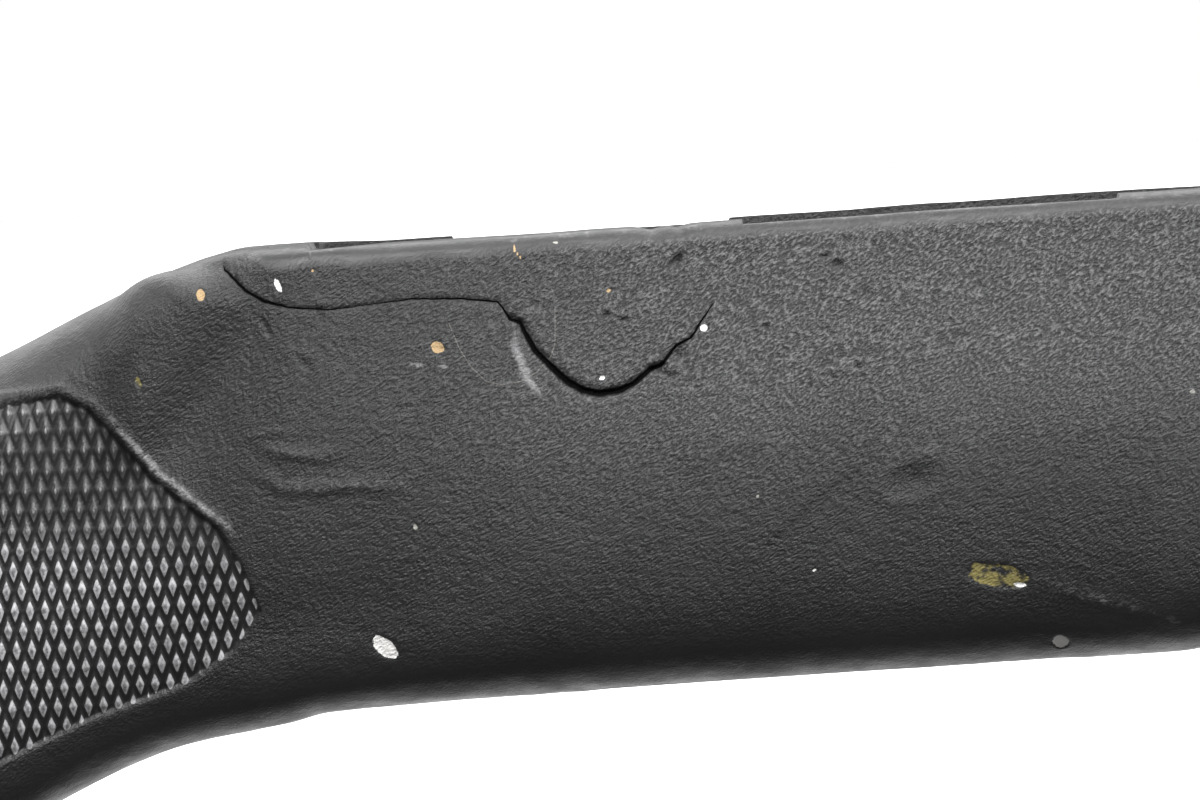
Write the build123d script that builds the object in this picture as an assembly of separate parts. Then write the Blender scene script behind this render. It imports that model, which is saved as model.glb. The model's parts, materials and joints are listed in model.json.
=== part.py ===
# One-piece-style composite target-rifle stock, bare: moulded shell halves, foam butt core,
# steel inlet liner, bedding pillars, hinged butt plate and sling swivels.
# Row frame: +X towards the muzzle, +Y to the stock's left, +Z up, millimetres.
# Origin: top face centre of the front bedding pillar.
import math
import os
from build123d import *

# ---------------------------------------------------------------- driving dimensions
BUTT_S = -288.0          # butt end of the shells, measured from the rear end of the inlet
TIP_S = 470.0            # forend tip
FRONT_PILLAR_S = 176.0   # front pillar station, becomes X = 0
BED_Z = -24.0            # bedding floor below the rails, becomes Z = 0

INLET_LEN = 186.0        # action inlet, from station 0
INLET_HALF_W = 19.5
CHANNEL_R = 15.0         # barrel channel half width
CHANNEL_FLOOR = -26.0
TRIGGER_SLOT = (26.0, 86.0, 10.0)      # from, to, half width
MAG_WELL = (109.0, 163.0, 14.5)

REAR_PILLAR_S = 13.0
PILLAR_OD = 14.0
PILLAR_ID = 6.6
REAR_PILLAR_LEN = 24.0
FRONT_PILLAR_LEN = 16.0
COUNTERBORE_R = 8.0

SKIN = 3.0               # wall of the moulded skin over the foam core
CORE_FRONT_S = -122.0
STORAGE_R = 10.0         # storage tube bore
STORAGE_WALL = 1.0
STORAGE_LEN = 70.0
STORAGE_Z = -98.0

LINER_T = 1.2
LINER_S = (6.0, 98.0)
LINER_TOP = -5.5

PLATE_T = 2.6            # butt plate
GAP = 0.3
FLAP_T = 2.5
FLAP_R = 3.0
FLAP_AXIS = (-294.0, -31.0)            # station, height
FLAP_BOTTOM = -68.0
DOOR_T = 2.0
DOOR_R = 2.3
DOOR_AXIS = (-293.4, -74.5)
DOOR_BOTTOM = -123.0

WIRE_R = 1.9             # sling loop wire
LOOP_W = 32.0            # inside width of a sling loop
LOOP_H = 17.0            # inside height of a sling loop
EYE_R = 3.9
EYE_BORE = 1.93
REAR_SWIVEL_S = -222.0
FRONT_SWIVEL_S = 392.0

FERRULE_T = 1.2
FERRULE_S = 452.0

# ---------------------------------------------------------------- outline tables: (station, value)
TOP = [(-288, -26), (-240, -21.6), (-200, -18), (-160, -14.4), (-130, -11.7), (-115, -10.6), (-105, -10.9), (-95, -12.8),
       (-85, -15.6), (-75, -17.8), (-65, -18.4), (-55, -16.9), (-45, -13.7), (-34.8, -9.7), (-25.7, -5.8), (-16.6, -2.35),
       (-12.2, -1.15), (-7.7, -0.45), (0, -0.5), (10, -0.75), (182, -0.75), (187, -3.0), (193, -6.6), (199, -8.0), (470, -9.0)]
BOT = [(-288, -148), (-270, -140.4), (-240, -127.4), (-200, -109.8), (-160, -92), (-135, -81.2), (-120, -75.6), (-112, -73.8),
       (-106, -74.6), (-100, -78.6), (-95, -83.6), (-89, -88.0), (-82, -89.6), (-74, -88.4), (-66, -84.5), (-58, -78.8),
       (-50, -72.6), (-42, -67.0), (-34, -62.5), (-24.6, -58.6), (-20.1, -57.2), (-15.6, -56.35), (-11.1, -55.75), (-6.6, -55.1),
       (-2.2, -54.25), (6.6, -53.95), (15.5, -53.8), (28.7, -53.8), (50.7, -53.75), (72.6, -53.75), (95, -53.75), (99, -53.45),
       (101.5, -52.3), (103.5, -50.6), (105.5, -49.0), (108, -47.8), (112, -47.1), (118, -46.9), (160, -46.2), (200, -44), (260, -40),
       (340, -37), (420, -34.5), (470, -33)]
HALF_W = [(-288, 20.5), (-240, 20.3), (-200, 19.6), (-160, 18.8), (-130, 18.0), (-100, 17.6), (-80, 17.8), (-60, 18.2),
          (-40, 19.0), (-25, 20.2), (-15, 22.0), (-8, 23.9), (-3, 24.8), (3, 25), (100, 25), (180, 24.6), (220, 23.6),
          (300, 22.6), (400, 21.6), (470, 21.0)]
TOP_R = [(-288, 15), (-200, 14), (-130, 13), (-105, 11.5), (-90, 12.5), (-60, 13.5), (-40, 12.5), (-30, 10.5), (-20, 7),
         (-12, 4), (-6, 2.8), (0, 2.4), (180, 2.4), (200, 2.8), (470, 2.8)]
MID = [(-288, -66), (-240, -57), (-200, -50), (-160, -43), (-130, -38), (-100, -36), (-80, -37), (-60, -35), (-40, -28),
       (-25, -22), (-10, -18), (0, -17), (100, -17), (110, -16.5), (180, -17), (200, -19), (470, -17)]
EXPO = [(-288, 2.6), (-200, 2.5), (-130, 2.5), (-100, 2.6), (-80, 2.7), (-60, 2.8), (-40, 2.9), (-20, 2.6), (0, 2.3),
        (95, 2.3), (108, 2.9), (180, 3.0), (470, 2.6)]
BELLY = [(-288, 0.0), (-40, 0.0), (-20, 0.6), (0, 1.6), (95, 1.6), (108, 0.7), (125, 0.0), (470, 0.0)]


def pchip(table):
    x = [p[0] for p in table]
    y = [p[1] for p in table]
    n = len(x)
    h = [x[i + 1] - x[i] for i in range(n - 1)]
    d = [(y[i + 1] - y[i]) / h[i] for i in range(n - 1)]
    m = [0.0] * n
    m[0], m[-1] = d[0], d[-1]
    for i in range(1, n - 1):
        if d[i - 1] * d[i] > 0:
            w1, w2 = 2 * h[i] + h[i - 1], h[i] + 2 * h[i - 1]
            m[i] = (w1 + w2) / (w1 / d[i - 1] + w2 / d[i])

    def f(s):
        s = min(max(s, x[0]), x[-1])
        i = 0
        while i < n - 2 and s > x[i + 1]:
            i += 1
        t = (s - x[i]) / h[i]
        return ((1 + 2 * t) * (1 - t) ** 2 * y[i] + t * (1 - t) ** 2 * h[i] * m[i]
                + t * t * (3 - 2 * t) * y[i + 1] + t * t * (t - 1) * h[i] * m[i + 1])
    return f


f_top, f_bot, f_w, f_r, f_mid, f_n, f_belly = (pchip(t) for t in (TOP, BOT, HALF_W, TOP_R, MID, EXPO, BELLY))


def resample(pts, n):
    """n points evenly spaced along a polyline, ends kept."""
    acc = [0.0]
    for a, b in zip(pts, pts[1:]):
        acc.append(acc[-1] + math.dist(a, b))
    out, j = [], 0
    for k in range(n):
        t = acc[-1] * k / (n - 1)
        while j < len(acc) - 2 and acc[j + 1] < t:
            j += 1
        u = (t - acc[j]) / max(acc[j + 1] - acc[j], 1e-9)
        out.append((pts[j][0] + (pts[j + 1][0] - pts[j][0]) * u, pts[j][1] + (pts[j + 1][1] - pts[j][1]) * u))
    return out


def half_section(s, inset=0.0, top_inset=None):
    """Points (y, z) of one side's outline at station s, from the top centre to the bottom centre."""
    top_inset = inset if top_inset is None else top_inset
    zt, zb = f_top(s) - top_inset, f_bot(s) + inset
    w, zm, n = f_w(s) - inset, f_mid(s), f_n(s)
    m = n + f_belly(s)
    r = max(f_r(s) - top_inset, 1.0)
    r = min(r, w - 2.0)
    crown = 0.012 * (w - r)
    a = [(u * (w - r), zt + crown * (1 - u * u)) for u in [k / 20 for k in range(21)]]
    b = [(w - r + r * math.sin(t), zt - r + r * math.cos(t)) for t in [math.pi / 2 * k / 24 for k in range(25)]]
    c = [(w, zt - r), (w, zm)]
    d = []
    for k in range(201):
        t = math.pi / 2 * k / 200
        d.append((w * max(math.cos(t), 0.0) ** (2 / m), zm - (zm - zb) * math.sin(t) ** (2 / n)))
    return resample(a, 4)[:-1] + resample(b, 5)[:-1] + resample(c, 4)[:-1] + resample(d, 12)


def half_loft(stations, side, inset=0.0, top_inset=None, ruled=False):
    wires = []
    for s in stations:
        pts = [Vector(s, side * y, z) for y, z in half_section(s, inset, top_inset)]
        pts[0] = Vector(pts[0].X, 0, pts[0].Z)
        pts[-1] = Vector(pts[-1].X, 0, pts[-1].Z)
        wires.append(Wire([Edge.make_spline(pts), Edge.make_line(pts[-1], pts[0])]))
    return Solid.make_loft(wires, ruled=ruled)


def box(s0, s1, y0, y1, z0, z1):
    return Pos((s0 + s1) / 2, (y0 + y1) / 2, (z0 + z1) / 2) * Box(s1 - s0, y1 - y0, z1 - z0)


def cyl(p, axis, r, length):
    """A cylinder whose base centre is p and that runs length along axis."""
    return Solid.make_cylinder(r, length, Plane(origin=p, z_dir=axis))


SEGMENTS = [
    [-288, -264, -240, -220, -200, -180, -160, -145, -132, -122],
    [-122, -114, -108, -103, -98, -93, -88, -82, -75, -68, -61, -54, -47, -40, -34],
    [-34, -29, -24, -20, -16, -12, -8, -4, 0],
    [0, 8, 20, 40, 65, 94],
    [94, 97, 99.5, 101.5, 103.5, 105.5, 108, 112],
    [112, 130, 155, 180],
    [180, 184, 188, 192, 196, 200],
    [200, 230, 260, 300, 340, 380, 425, 470],
]


def half_body(side):
    parts = [half_loft(seg, side) for seg in SEGMENTS]
    out = parts[0]
    for p in parts[1:]:
        out = out.fuse(p)
    return out


def one(shape):
    """The solids of a shape (or of a list of shapes) as one object."""
    shapes = list(shape) if isinstance(shape, (list, tuple, ShapeList)) else [shape]
    solids = [s for item in shapes for s in item.solids()]
    return solids[0] if len(solids) == 1 else Compound(children=list(solids))


def minus(shape, *tools):
    for t in tools:
        shape = one(one(shape).cut(t))
    return shape


def common(shape, tool):
    return one(one(shape).intersect(tool))


def place(shape):
    return Pos(-FRONT_PILLAR_S, 0, -BED_Z) * shape


nodes = {}

# ---------------------------------------------------------------- cutters of the inlet
inlet = box(0, INLET_LEN, -INLET_HALF_W, INLET_HALF_W, BED_Z, 30)
inlet = inlet.fillet(5.0, [e for e in inlet.edges() if abs(e.length - (30 - BED_Z)) < 0.01 and e.center().X < 1])
channel = box(INLET_LEN - 1, TIP_S + 5, -CHANNEL_R, CHANNEL_R, CHANNEL_FLOOR + CHANNEL_R, 30).fuse(
    cyl((INLET_LEN - 1, 0, CHANNEL_FLOOR + CHANNEL_R), (1, 0, 0), CHANNEL_R, TIP_S + 6 - INLET_LEN))
slot = box(TRIGGER_SLOT[0], TRIGGER_SLOT[1], -TRIGGER_SLOT[2], TRIGGER_SLOT[2], -70, -20)
slot = slot.fillet(5.0, slot.edges().filter_by(Axis.Z))
well = box(MAG_WELL[0], MAG_WELL[1], -MAG_WELL[2], MAG_WELL[2], -70, -20)
well = well.fillet(3.0, well.edges().filter_by(Axis.Z))
rear_hole = cyl((REAR_PILLAR_S, 0, -70), (0, 0, 1), PILLAR_OD / 2, 50).fuse(
    cyl((REAR_PILLAR_S, 0, -70), (0, 0, 1), COUNTERBORE_R, 70 + BED_Z - REAR_PILLAR_LEN))
front_hole = cyl((FRONT_PILLAR_S, 0, -70), (0, 0, 1), PILLAR_OD / 2, 50).fuse(
    cyl((FRONT_PILLAR_S, 0, -70), (0, 0, 1), COUNTERBORE_R, 70 + BED_Z - FRONT_PILLAR_LEN))
right_relief = box(48.5, 91.0, -30, -15, -1.25, 5)
left_relief = box(15, 48, 15, 30, -1.15, 5)
cutters = [inlet, channel, slot, well, rear_hole, front_hole]

# ---------------------------------------------------------------- foam core of the butt
core_st = [-288, -264, -240, -220, -200, -180, -160, -145, -132, CORE_FRONT_S]
core = half_loft(core_st, 1, SKIN).fuse(half_loft(core_st, -1, SKIN))
storage_outer = cyl((BUTT_S, 0, STORAGE_Z), (1, 0, 0), STORAGE_R + STORAGE_WALL, STORAGE_LEN)

# ---------------------------------------------------------------- screws: (head centre on the surface, inward direction, head r, shank r, length)


def screw(p, d, head_r, shank_r, length, slot_w=1.0, slot_d=0.9):
    """Countersunk slotted screw, with its head's flat face at p."""
    d = Vector(*d).normalized()
    pl = Plane(origin=p, z_dir=d)
    head = Solid.make_cone(head_r, shank_r, head_r - shank_r, pl)
    shank = Solid.make_cylinder(shank_r, length, pl)
    body = head.fuse(shank)
    cut = Box(2 * head_r + 2, slot_w, 2 * slot_d)
    return body.cut(pl * cut)


def screw_hole(p, d, head_r, shank_r, length, c=0.04):
    d = Vector(*d).normalized()
    back = Vector(*p) - d * 6
    pl = Plane(origin=p, z_dir=d)
    return Solid.make_cone(head_r + c, shank_r + c, head_r - shank_r, pl).fuse(
        Solid.make_cylinder(shank_r + c, length + 0.3, pl)).fuse(
        Solid.make_cylinder(head_r + c, 6, Plane(origin=back, z_dir=d)))


# ---------------------------------------------------------------- sling swivels


def swivel(s, toe):
    """Frame on the belly line at station s; toe True tilts it along the toe line."""
    z = f_bot(s)
    slope = math.degrees(math.atan2(f_bot(s + 12) - f_bot(s - 12), 24)) if toe else 0.0
    return Pos(s, 0, z) * Rot(0, -slope, 0), slope


def bracket_parts(s, toe, length, screw_len):
    loc, slope = swivel(s, toe)
    base_t = 2.2
    plate = Pos(0, 0, base_t / 2) * Box(length, 13, base_t)
    plate = plate.fillet(5.0, plate.edges().filter_by(Axis.Z))
    eye_z = -4.6
    eye = cyl((0, -6, eye_z), (0, 1, 0), EYE_R, 12)
    web = Pos(0, 0, eye_z / 2) * Box(2 * EYE_R * 0.9, 12, -eye_z + 0.4)
    bracket = minus(one(plate.fuse(eye).fuse(web)), cyl((0, -7, eye_z), (0, 1, 0), EYE_BORE, 14))
    pocket = Pos(0, 0, base_t / 2 - 3) * Box(length + 0.2, 13.2, base_t + 6)
    pocket = pocket.fillet(5.1, pocket.edges().filter_by(Axis.Z))
    xs = (-(length / 2 - 5.5), length / 2 - 5.5)
    screws = [screw((x, 0, 0), (0, 0, 1), 3.3, 1.7, screw_len) for x in xs]
    holes = [screw_hole((x, 0, 0), (0, 0, 1), 3.3, 1.7, screw_len) for x in xs]
    bracket = minus(bracket, *holes)
    scr = loc * Compound(children=screws)
    axis = loc * Pos(0, 0, eye_z)
    centre = axis.position
    return loc * bracket, scr, [loc * pocket] + [loc * h for h in holes], centre


def sling_loop(centre):
    """Closed wire loop hanging straight down from the eye's axis."""
    w, h, r = LOOP_W + 2 * WIRE_R, LOOP_H + 2 * WIRE_R, 5.0
    rr = WIRE_R - 0.05
    x, y, z = centre.X, centre.Y, centre.Z
    half, low = w / 2, z - h
    pts = [Vector(x, -half + r, z), Vector(x, half - r, z), Vector(x, half, z - r), Vector(x, half, low + r),
           Vector(x, half - r, low), Vector(x, -half + r, low), Vector(x, -half, low + r), Vector(x, -half, z - r)]
    k = r * (1 - math.sqrt(0.5))
    mids = [Vector(x, half - k, z - k), Vector(x, half - k, low + k), Vector(x, -half + k, low + k), Vector(x, -half + k, z - k)]
    edges = [Edge.make_line(pts[0], pts[1]), Edge.make_three_point_arc(pts[1], mids[0], pts[2]), Edge.make_line(pts[2], pts[3]),
             Edge.make_three_point_arc(pts[3], mids[1], pts[4]), Edge.make_line(pts[4], pts[5]),
             Edge.make_three_point_arc(pts[5], mids[2], pts[6]), Edge.make_line(pts[6], pts[7]),
             Edge.make_three_point_arc(pts[7], mids[3], pts[0])]
    parts = []
    for e in edges:
        a, t = e @ 0, e % 0
        parts.append(sweep(Plane(origin=a, z_dir=t) * Circle(rr), path=Wire([e])))
    out = parts[0]
    for p in parts[1:]:
        out = out + p
    return one(out)


rear_bracket, rear_screws, rear_cuts, rear_axis = bracket_parts(REAR_SWIVEL_S, True, 36.0, 11.0)
front_bracket, front_screws, front_cuts, front_axis = bracket_parts(FRONT_SWIVEL_S, False, 30.0, 7.0)
rear_loop, front_loop = sling_loop(rear_axis), sling_loop(front_axis)

# ---------------------------------------------------------------- butt plate screws
PLATE_SCREWS = [((BUTT_S - PLATE_T, 0, -47.0), 3.9, 2.2, 32.0), ((BUTT_S - PLATE_T, 0, -133.5), 3.9, 2.2, 16.0)]
plate_screws = [screw(p, (1, 0, 0), hr, sr, ln, 1.2, 1.0) for p, hr, sr, ln in PLATE_SCREWS]
plate_holes = [screw_hole(p, (1, 0, 0), hr, sr, ln) for p, hr, sr, ln in PLATE_SCREWS]

# ---------------------------------------------------------------- patch let into the right wall
PATCH = [(-10.2, -2.4), (-3.2, -7.1), (5.0, -7.5), (12.8, -7.4), (20.2, -8.6), (22.4, -12.0), (24.9, -15.8), (28.0, -18.5),
         (31.3, -19.3), (35.2, -18.4), (38.7, -16.4), (41.0, -13.5), (43.7, -9.5), (46.8, -1.0), (47.2, 4.0), (-10.2, 4.0)]
patch_face = make_face(Polyline([Vector(s, -32, z) for s, z in PATCH + PATCH[:1]]).edges())
patch_prism = extrude(patch_face, amount=16.0, dir=(0, 1, 0))

# ---------------------------------------------------------------- ferrule and its screws
ferr_st = [FERRULE_S, 458, 464, TIP_S]
ferrule = half_loft(ferr_st, 1, -FERRULE_T, 0).fuse(half_loft(ferr_st, -1, -FERRULE_T, 0))
tip_face = half_loft([TIP_S, TIP_S + FERRULE_T], 1, -FERRULE_T, 0).fuse(half_loft([TIP_S, TIP_S + FERRULE_T], -1, -FERRULE_T, 0))
inner = half_loft(ferr_st, 1, -0.02).fuse(half_loft(ferr_st, -1, -0.02))
ferrule = minus(one(minus(ferrule, inner).fuse(tip_face)), channel)
FERR_SCREWS = [((461.0, side * (f_w(461.0) + FERRULE_T), -14.0), (0, -side, 0), 2.6, 1.3, 4.6) for side in (1, -1)]
ferr_screws = [screw(p, d, hr, sr, ln, 0.8, 0.6) for p, d, hr, sr, ln in FERR_SCREWS]
ferr_holes = [screw_hole(p, d, hr, sr, ln) for p, d, hr, sr, ln in FERR_SCREWS]
ferrule = minus(ferrule, *ferr_holes)

# ---------------------------------------------------------------- inlet liner
liner = box(LINER_S[0], LINER_S[1], -INLET_HALF_W, INLET_HALF_W, BED_Z, LINER_TOP)
liner = liner.cut(box(LINER_S[0] - 1, LINER_S[1] + 1, -INLET_HALF_W + LINER_T, INLET_HALF_W - LINER_T, BED_Z + LINER_T, 0))
liner = liner.cut(box(TRIGGER_SLOT[0] - 0.5, TRIGGER_SLOT[1] + 0.5, -TRIGGER_SLOT[2] - 0.5, TRIGGER_SLOT[2] + 0.5, -40, -15))
liner = liner.cut(cyl((REAR_PILLAR_S, 0, -40), (0, 0, 1), 5.0, 30))
LINER_SCREWS = [((s, side * (INLET_HALF_W - LINER_T), -14.5), (0, side, 0), 2.4, 1.2, 4.6) for s in (14.0, 82.0) for side in (1, -1)]
liner_screws = [screw(p, d, hr, sr, ln, 0.7, 0.5) for p, d, hr, sr, ln in LINER_SCREWS]
liner_holes = [screw_hole(p, d, hr, sr, ln) for p, d, hr, sr, ln in LINER_SCREWS]
liner = minus(liner, *liner_holes)

# ---------------------------------------------------------------- shells
for side, name in ((1, "shell_left"), (-1, "shell_right")):
    wall = minus(half_body(side), *cutters, left_relief if side > 0 else right_relief)
    body = minus(wall, core, storage_outer, *rear_cuts, *front_cuts, *plate_holes, *ferr_holes, *liner_holes)
    if side < 0:
        nodes["side_patch"] = minus(common(wall, patch_prism), *liner_holes)
        body = minus(body, patch_prism)
    nodes[name] = one(body)
nodes["butt_core"] = minus(core, storage_outer, *rear_cuts, *plate_holes)
nodes["storage_tube"] = one(storage_outer.cut(cyl((BUTT_S - 1, 0, STORAGE_Z), (1, 0, 0), STORAGE_R, STORAGE_LEN)))

# ---------------------------------------------------------------- pillars
nodes["rear_pillar"] = one(cyl((REAR_PILLAR_S, 0, BED_Z), (0, 0, -1), PILLAR_OD / 2, REAR_PILLAR_LEN).cut(
    cyl((REAR_PILLAR_S, 0, BED_Z + 1), (0, 0, -1), PILLAR_ID / 2, REAR_PILLAR_LEN + 2)))
nodes["front_pillar"] = one(cyl((FRONT_PILLAR_S, 0, BED_Z), (0, 0, -1), PILLAR_OD / 2, FRONT_PILLAR_LEN).cut(
    cyl((FRONT_PILLAR_S, 0, BED_Z + 1), (0, 0, -1), PILLAR_ID / 2, FRONT_PILLAR_LEN + 2)))
nodes["inlet_liner"] = one(liner)
nodes["liner_screws"] = Compound(children=[one(s) for s in liner_screws])

# ---------------------------------------------------------------- butt plate, shoulder rest, trap door


def plate_outline(inset, x, t):
    pts = half_section(BUTT_S, inset)
    left = [Vector(x, y, z) for y, z in pts]
    right = [Vector(x, -y, z) for y, z in reversed(pts[1:-1])]
    face = make_face(Edge.make_spline(left + right, periodic=True))
    return extrude(face, amount=t, dir=(-1, 0, 0))


PLATE_X = BUTT_S - PLATE_T
plate = plate_outline(0.2, BUTT_S, PLATE_T)
opening = box(PLATE_X - 5, BUTT_S + 5, -STORAGE_R, STORAGE_R, STORAGE_Z - STORAGE_R - 8, STORAGE_Z + STORAGE_R + 2)
opening = opening.fillet(6.0, opening.edges().filter_by(Axis.X))
opening = common(opening, cyl((PLATE_X - 5, 0, STORAGE_Z), (1, 0, 0), STORAGE_R, 20))
plate = minus(plate, opening, *plate_holes)


def knuckle(axis, r, y0, y1, web_to, pin_r):
    """Hinge barrel between y0 and y1, with a web back to the plane x = web_to."""
    x, z = axis
    k = cyl((x, y0, z), (0, 1, 0), r, y1 - y0).fuse(box(min(x, web_to), max(x, web_to), y0, y1, z - r, z + r))
    return k.cut(cyl((x, y0 - 1, z), (0, 1, 0), pin_r, y1 - y0 + 2))


FLAP_PIN_R, DOOR_PIN_R = 1.5, 1.1
for y0, y1 in ((-12.0, -7.3), (7.3, 12.0)):
    plate = plate.fuse(knuckle(FLAP_AXIS, FLAP_R, y0, y1, PLATE_X + 0.5, FLAP_PIN_R))
for y0, y1 in ((-11.5, -6.8), (6.8, 11.5)):
    plate = plate.fuse(knuckle(DOOR_AXIS, DOOR_R, y0, y1, PLATE_X + 0.5, DOOR_PIN_R))
nodes["butt_plate"] = one(plate)
nodes["butt_plate_screws"] = Compound(children=[one(s) for s in plate_screws])
nodes["shoulder_rest_pin"] = one(cyl((FLAP_AXIS[0], -12.6, FLAP_AXIS[1]), (0, 1, 0), FLAP_PIN_R - 0.03, 25.2))
nodes["trap_door_pin"] = one(cyl((DOOR_AXIS[0], -12.1, DOOR_AXIS[1]), (0, 1, 0), DOOR_PIN_R - 0.03, 24.2))

flap_x = PLATE_X - GAP
flap = common(plate_outline(0.9, flap_x, FLAP_T),
              box(flap_x - FLAP_T, flap_x, -40, 40, FLAP_BOTTOM, FLAP_AXIS[1] - FLAP_R - 0.5))
fx = FLAP_AXIS[0]
k = cyl((fx, -7.0, FLAP_AXIS[1]), (0, 1, 0), FLAP_R - 0.1, 14.0).fuse(
    box(flap_x - FLAP_T, flap_x - 0.1, -7.0, 7.0, FLAP_AXIS[1] - FLAP_R - 1.0, FLAP_AXIS[1]))
flap = flap.fuse(k).cut(cyl((fx, -8.0, FLAP_AXIS[1]), (0, 1, 0), FLAP_PIN_R, 16.0))
nodes["shoulder_rest"] = one(flap)

door_x = PLATE_X - GAP
door = box(door_x - DOOR_T, door_x, -13.0, 13.0, DOOR_BOTTOM, DOOR_AXIS[1] - DOOR_R - 0.5)
door = door.fillet(5.0, [e for e in door.edges().filter_by(Axis.X) if e.center().Z < DOOR_BOTTOM + 1])
dx = DOOR_AXIS[0]
k = cyl((dx, -6.5, DOOR_AXIS[1]), (0, 1, 0), DOOR_R - 0.1, 13.0).fuse(
    box(door_x - DOOR_T, door_x - 0.1, -6.5, 6.5, DOOR_AXIS[1] - DOOR_R - 1.0, DOOR_AXIS[1]))
door = door.fuse(k).cut(cyl((dx, -7.5, DOOR_AXIS[1]), (0, 1, 0), DOOR_PIN_R, 15.0))
lip = box(door_x - DOOR_T - 1.6, door_x - DOOR_T + 0.2, -5.0, 5.0, DOOR_BOTTOM + 3, DOOR_BOTTOM + 6)
nodes["trap_door"] = one(door.fuse(lip))

# ---------------------------------------------------------------- swivels and ferrule
nodes["rear_swivel_bracket"] = one(rear_bracket)
nodes["rear_swivel_screws"] = rear_screws
nodes["rear_swivel_loop"] = rear_loop
nodes["front_swivel_bracket"] = one(front_bracket)
nodes["front_swivel_screws"] = front_screws
nodes["front_swivel_loop"] = front_loop
nodes["forend_ferrule"] = one(ferrule)
nodes["ferrule_screws"] = Compound(children=[one(s) for s in ferr_screws])

os.makedirs("parts", exist_ok=True)
for name, shape in nodes.items():
    export_step(place(shape), f"parts/{name}.step")
print("nodes", len(nodes))
print("rear swivel axis", rear_axis.X - FRONT_PILLAR_S, rear_axis.Z - BED_Z)
print("front swivel axis", front_axis.X - FRONT_PILLAR_S, front_axis.Z - BED_Z)
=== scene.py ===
import json
import math

import bmesh
import bpy
import numpy as np
from mathutils import Matrix, Vector
from mathutils.geometry import tessellate_polygon

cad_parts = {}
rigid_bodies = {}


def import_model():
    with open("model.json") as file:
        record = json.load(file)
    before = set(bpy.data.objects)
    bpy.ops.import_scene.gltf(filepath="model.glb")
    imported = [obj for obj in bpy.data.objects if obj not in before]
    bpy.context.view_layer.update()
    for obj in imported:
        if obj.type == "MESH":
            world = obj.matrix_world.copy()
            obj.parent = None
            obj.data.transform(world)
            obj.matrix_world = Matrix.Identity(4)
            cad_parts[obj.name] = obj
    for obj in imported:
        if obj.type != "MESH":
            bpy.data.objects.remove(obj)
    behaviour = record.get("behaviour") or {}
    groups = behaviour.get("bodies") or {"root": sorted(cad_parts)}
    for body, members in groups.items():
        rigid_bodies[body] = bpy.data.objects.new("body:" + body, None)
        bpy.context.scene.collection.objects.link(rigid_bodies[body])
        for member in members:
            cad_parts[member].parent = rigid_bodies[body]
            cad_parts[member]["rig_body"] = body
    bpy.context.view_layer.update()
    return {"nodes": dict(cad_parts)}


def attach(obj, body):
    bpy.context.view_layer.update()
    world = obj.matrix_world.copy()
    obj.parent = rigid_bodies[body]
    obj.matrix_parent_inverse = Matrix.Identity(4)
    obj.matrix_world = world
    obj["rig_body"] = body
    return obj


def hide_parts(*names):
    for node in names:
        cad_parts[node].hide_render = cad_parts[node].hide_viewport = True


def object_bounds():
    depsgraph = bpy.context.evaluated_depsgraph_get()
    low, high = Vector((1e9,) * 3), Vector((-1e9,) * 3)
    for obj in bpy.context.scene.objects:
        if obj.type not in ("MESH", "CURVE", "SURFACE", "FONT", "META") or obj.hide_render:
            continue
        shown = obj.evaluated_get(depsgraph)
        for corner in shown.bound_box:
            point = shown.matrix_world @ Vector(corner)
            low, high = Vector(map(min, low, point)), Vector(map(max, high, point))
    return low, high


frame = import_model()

NODES = frame["nodes"]

# ------------------------------------------------------------------ camera
# Working coordinates are millimetres: s along the stock from the rear end of the inlet, y to the left, z up from the rails.
S_ORIGIN, Z_ORIGIN = 176.0, -24.0
SPAN = 134.4                     # width seen at the near side face
LENS, SENSOR = 200.0, 36.0
ELEV, ROLL = math.radians(2.0), math.radians(3.9)
target = np.array([31.2, -25.0, -19.75])
look = np.array([0.0, math.cos(ELEV), -math.sin(ELEV)])
right0, up0 = np.array([1.0, 0.0, 0.0]), np.array([0.0, math.sin(ELEV), math.cos(ELEV)])
right = math.cos(ROLL) * right0 - math.sin(ROLL) * up0
up = math.sin(ROLL) * right0 + math.cos(ROLL) * up0
eye = target - look * (SPAN * LENS / SENSOR)


def row(p):
    """Millimetres along the stock to metres in the row frame."""
    q = np.array(p, float)
    q[..., 0] -= S_ORIGIN
    q[..., 2] -= Z_ORIGIN
    return q * 0.001


cam_data = bpy.data.cameras.new("camera")
cam_data.lens, cam_data.sensor_width, cam_data.clip_start, cam_data.clip_end = LENS, SENSOR, 0.05, 100.0
cam = bpy.data.objects.new("camera", cam_data)
bpy.context.scene.collection.objects.link(cam)
m = Matrix.Identity(4)
for i in range(3):
    m[i][0], m[i][1], m[i][2], m[i][3] = right[i], up[i], -look[i], row(eye)[i]
cam.matrix_world = m
bpy.context.scene.camera = cam
bpy.context.scene.view_settings.view_transform = "Standard"

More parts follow.
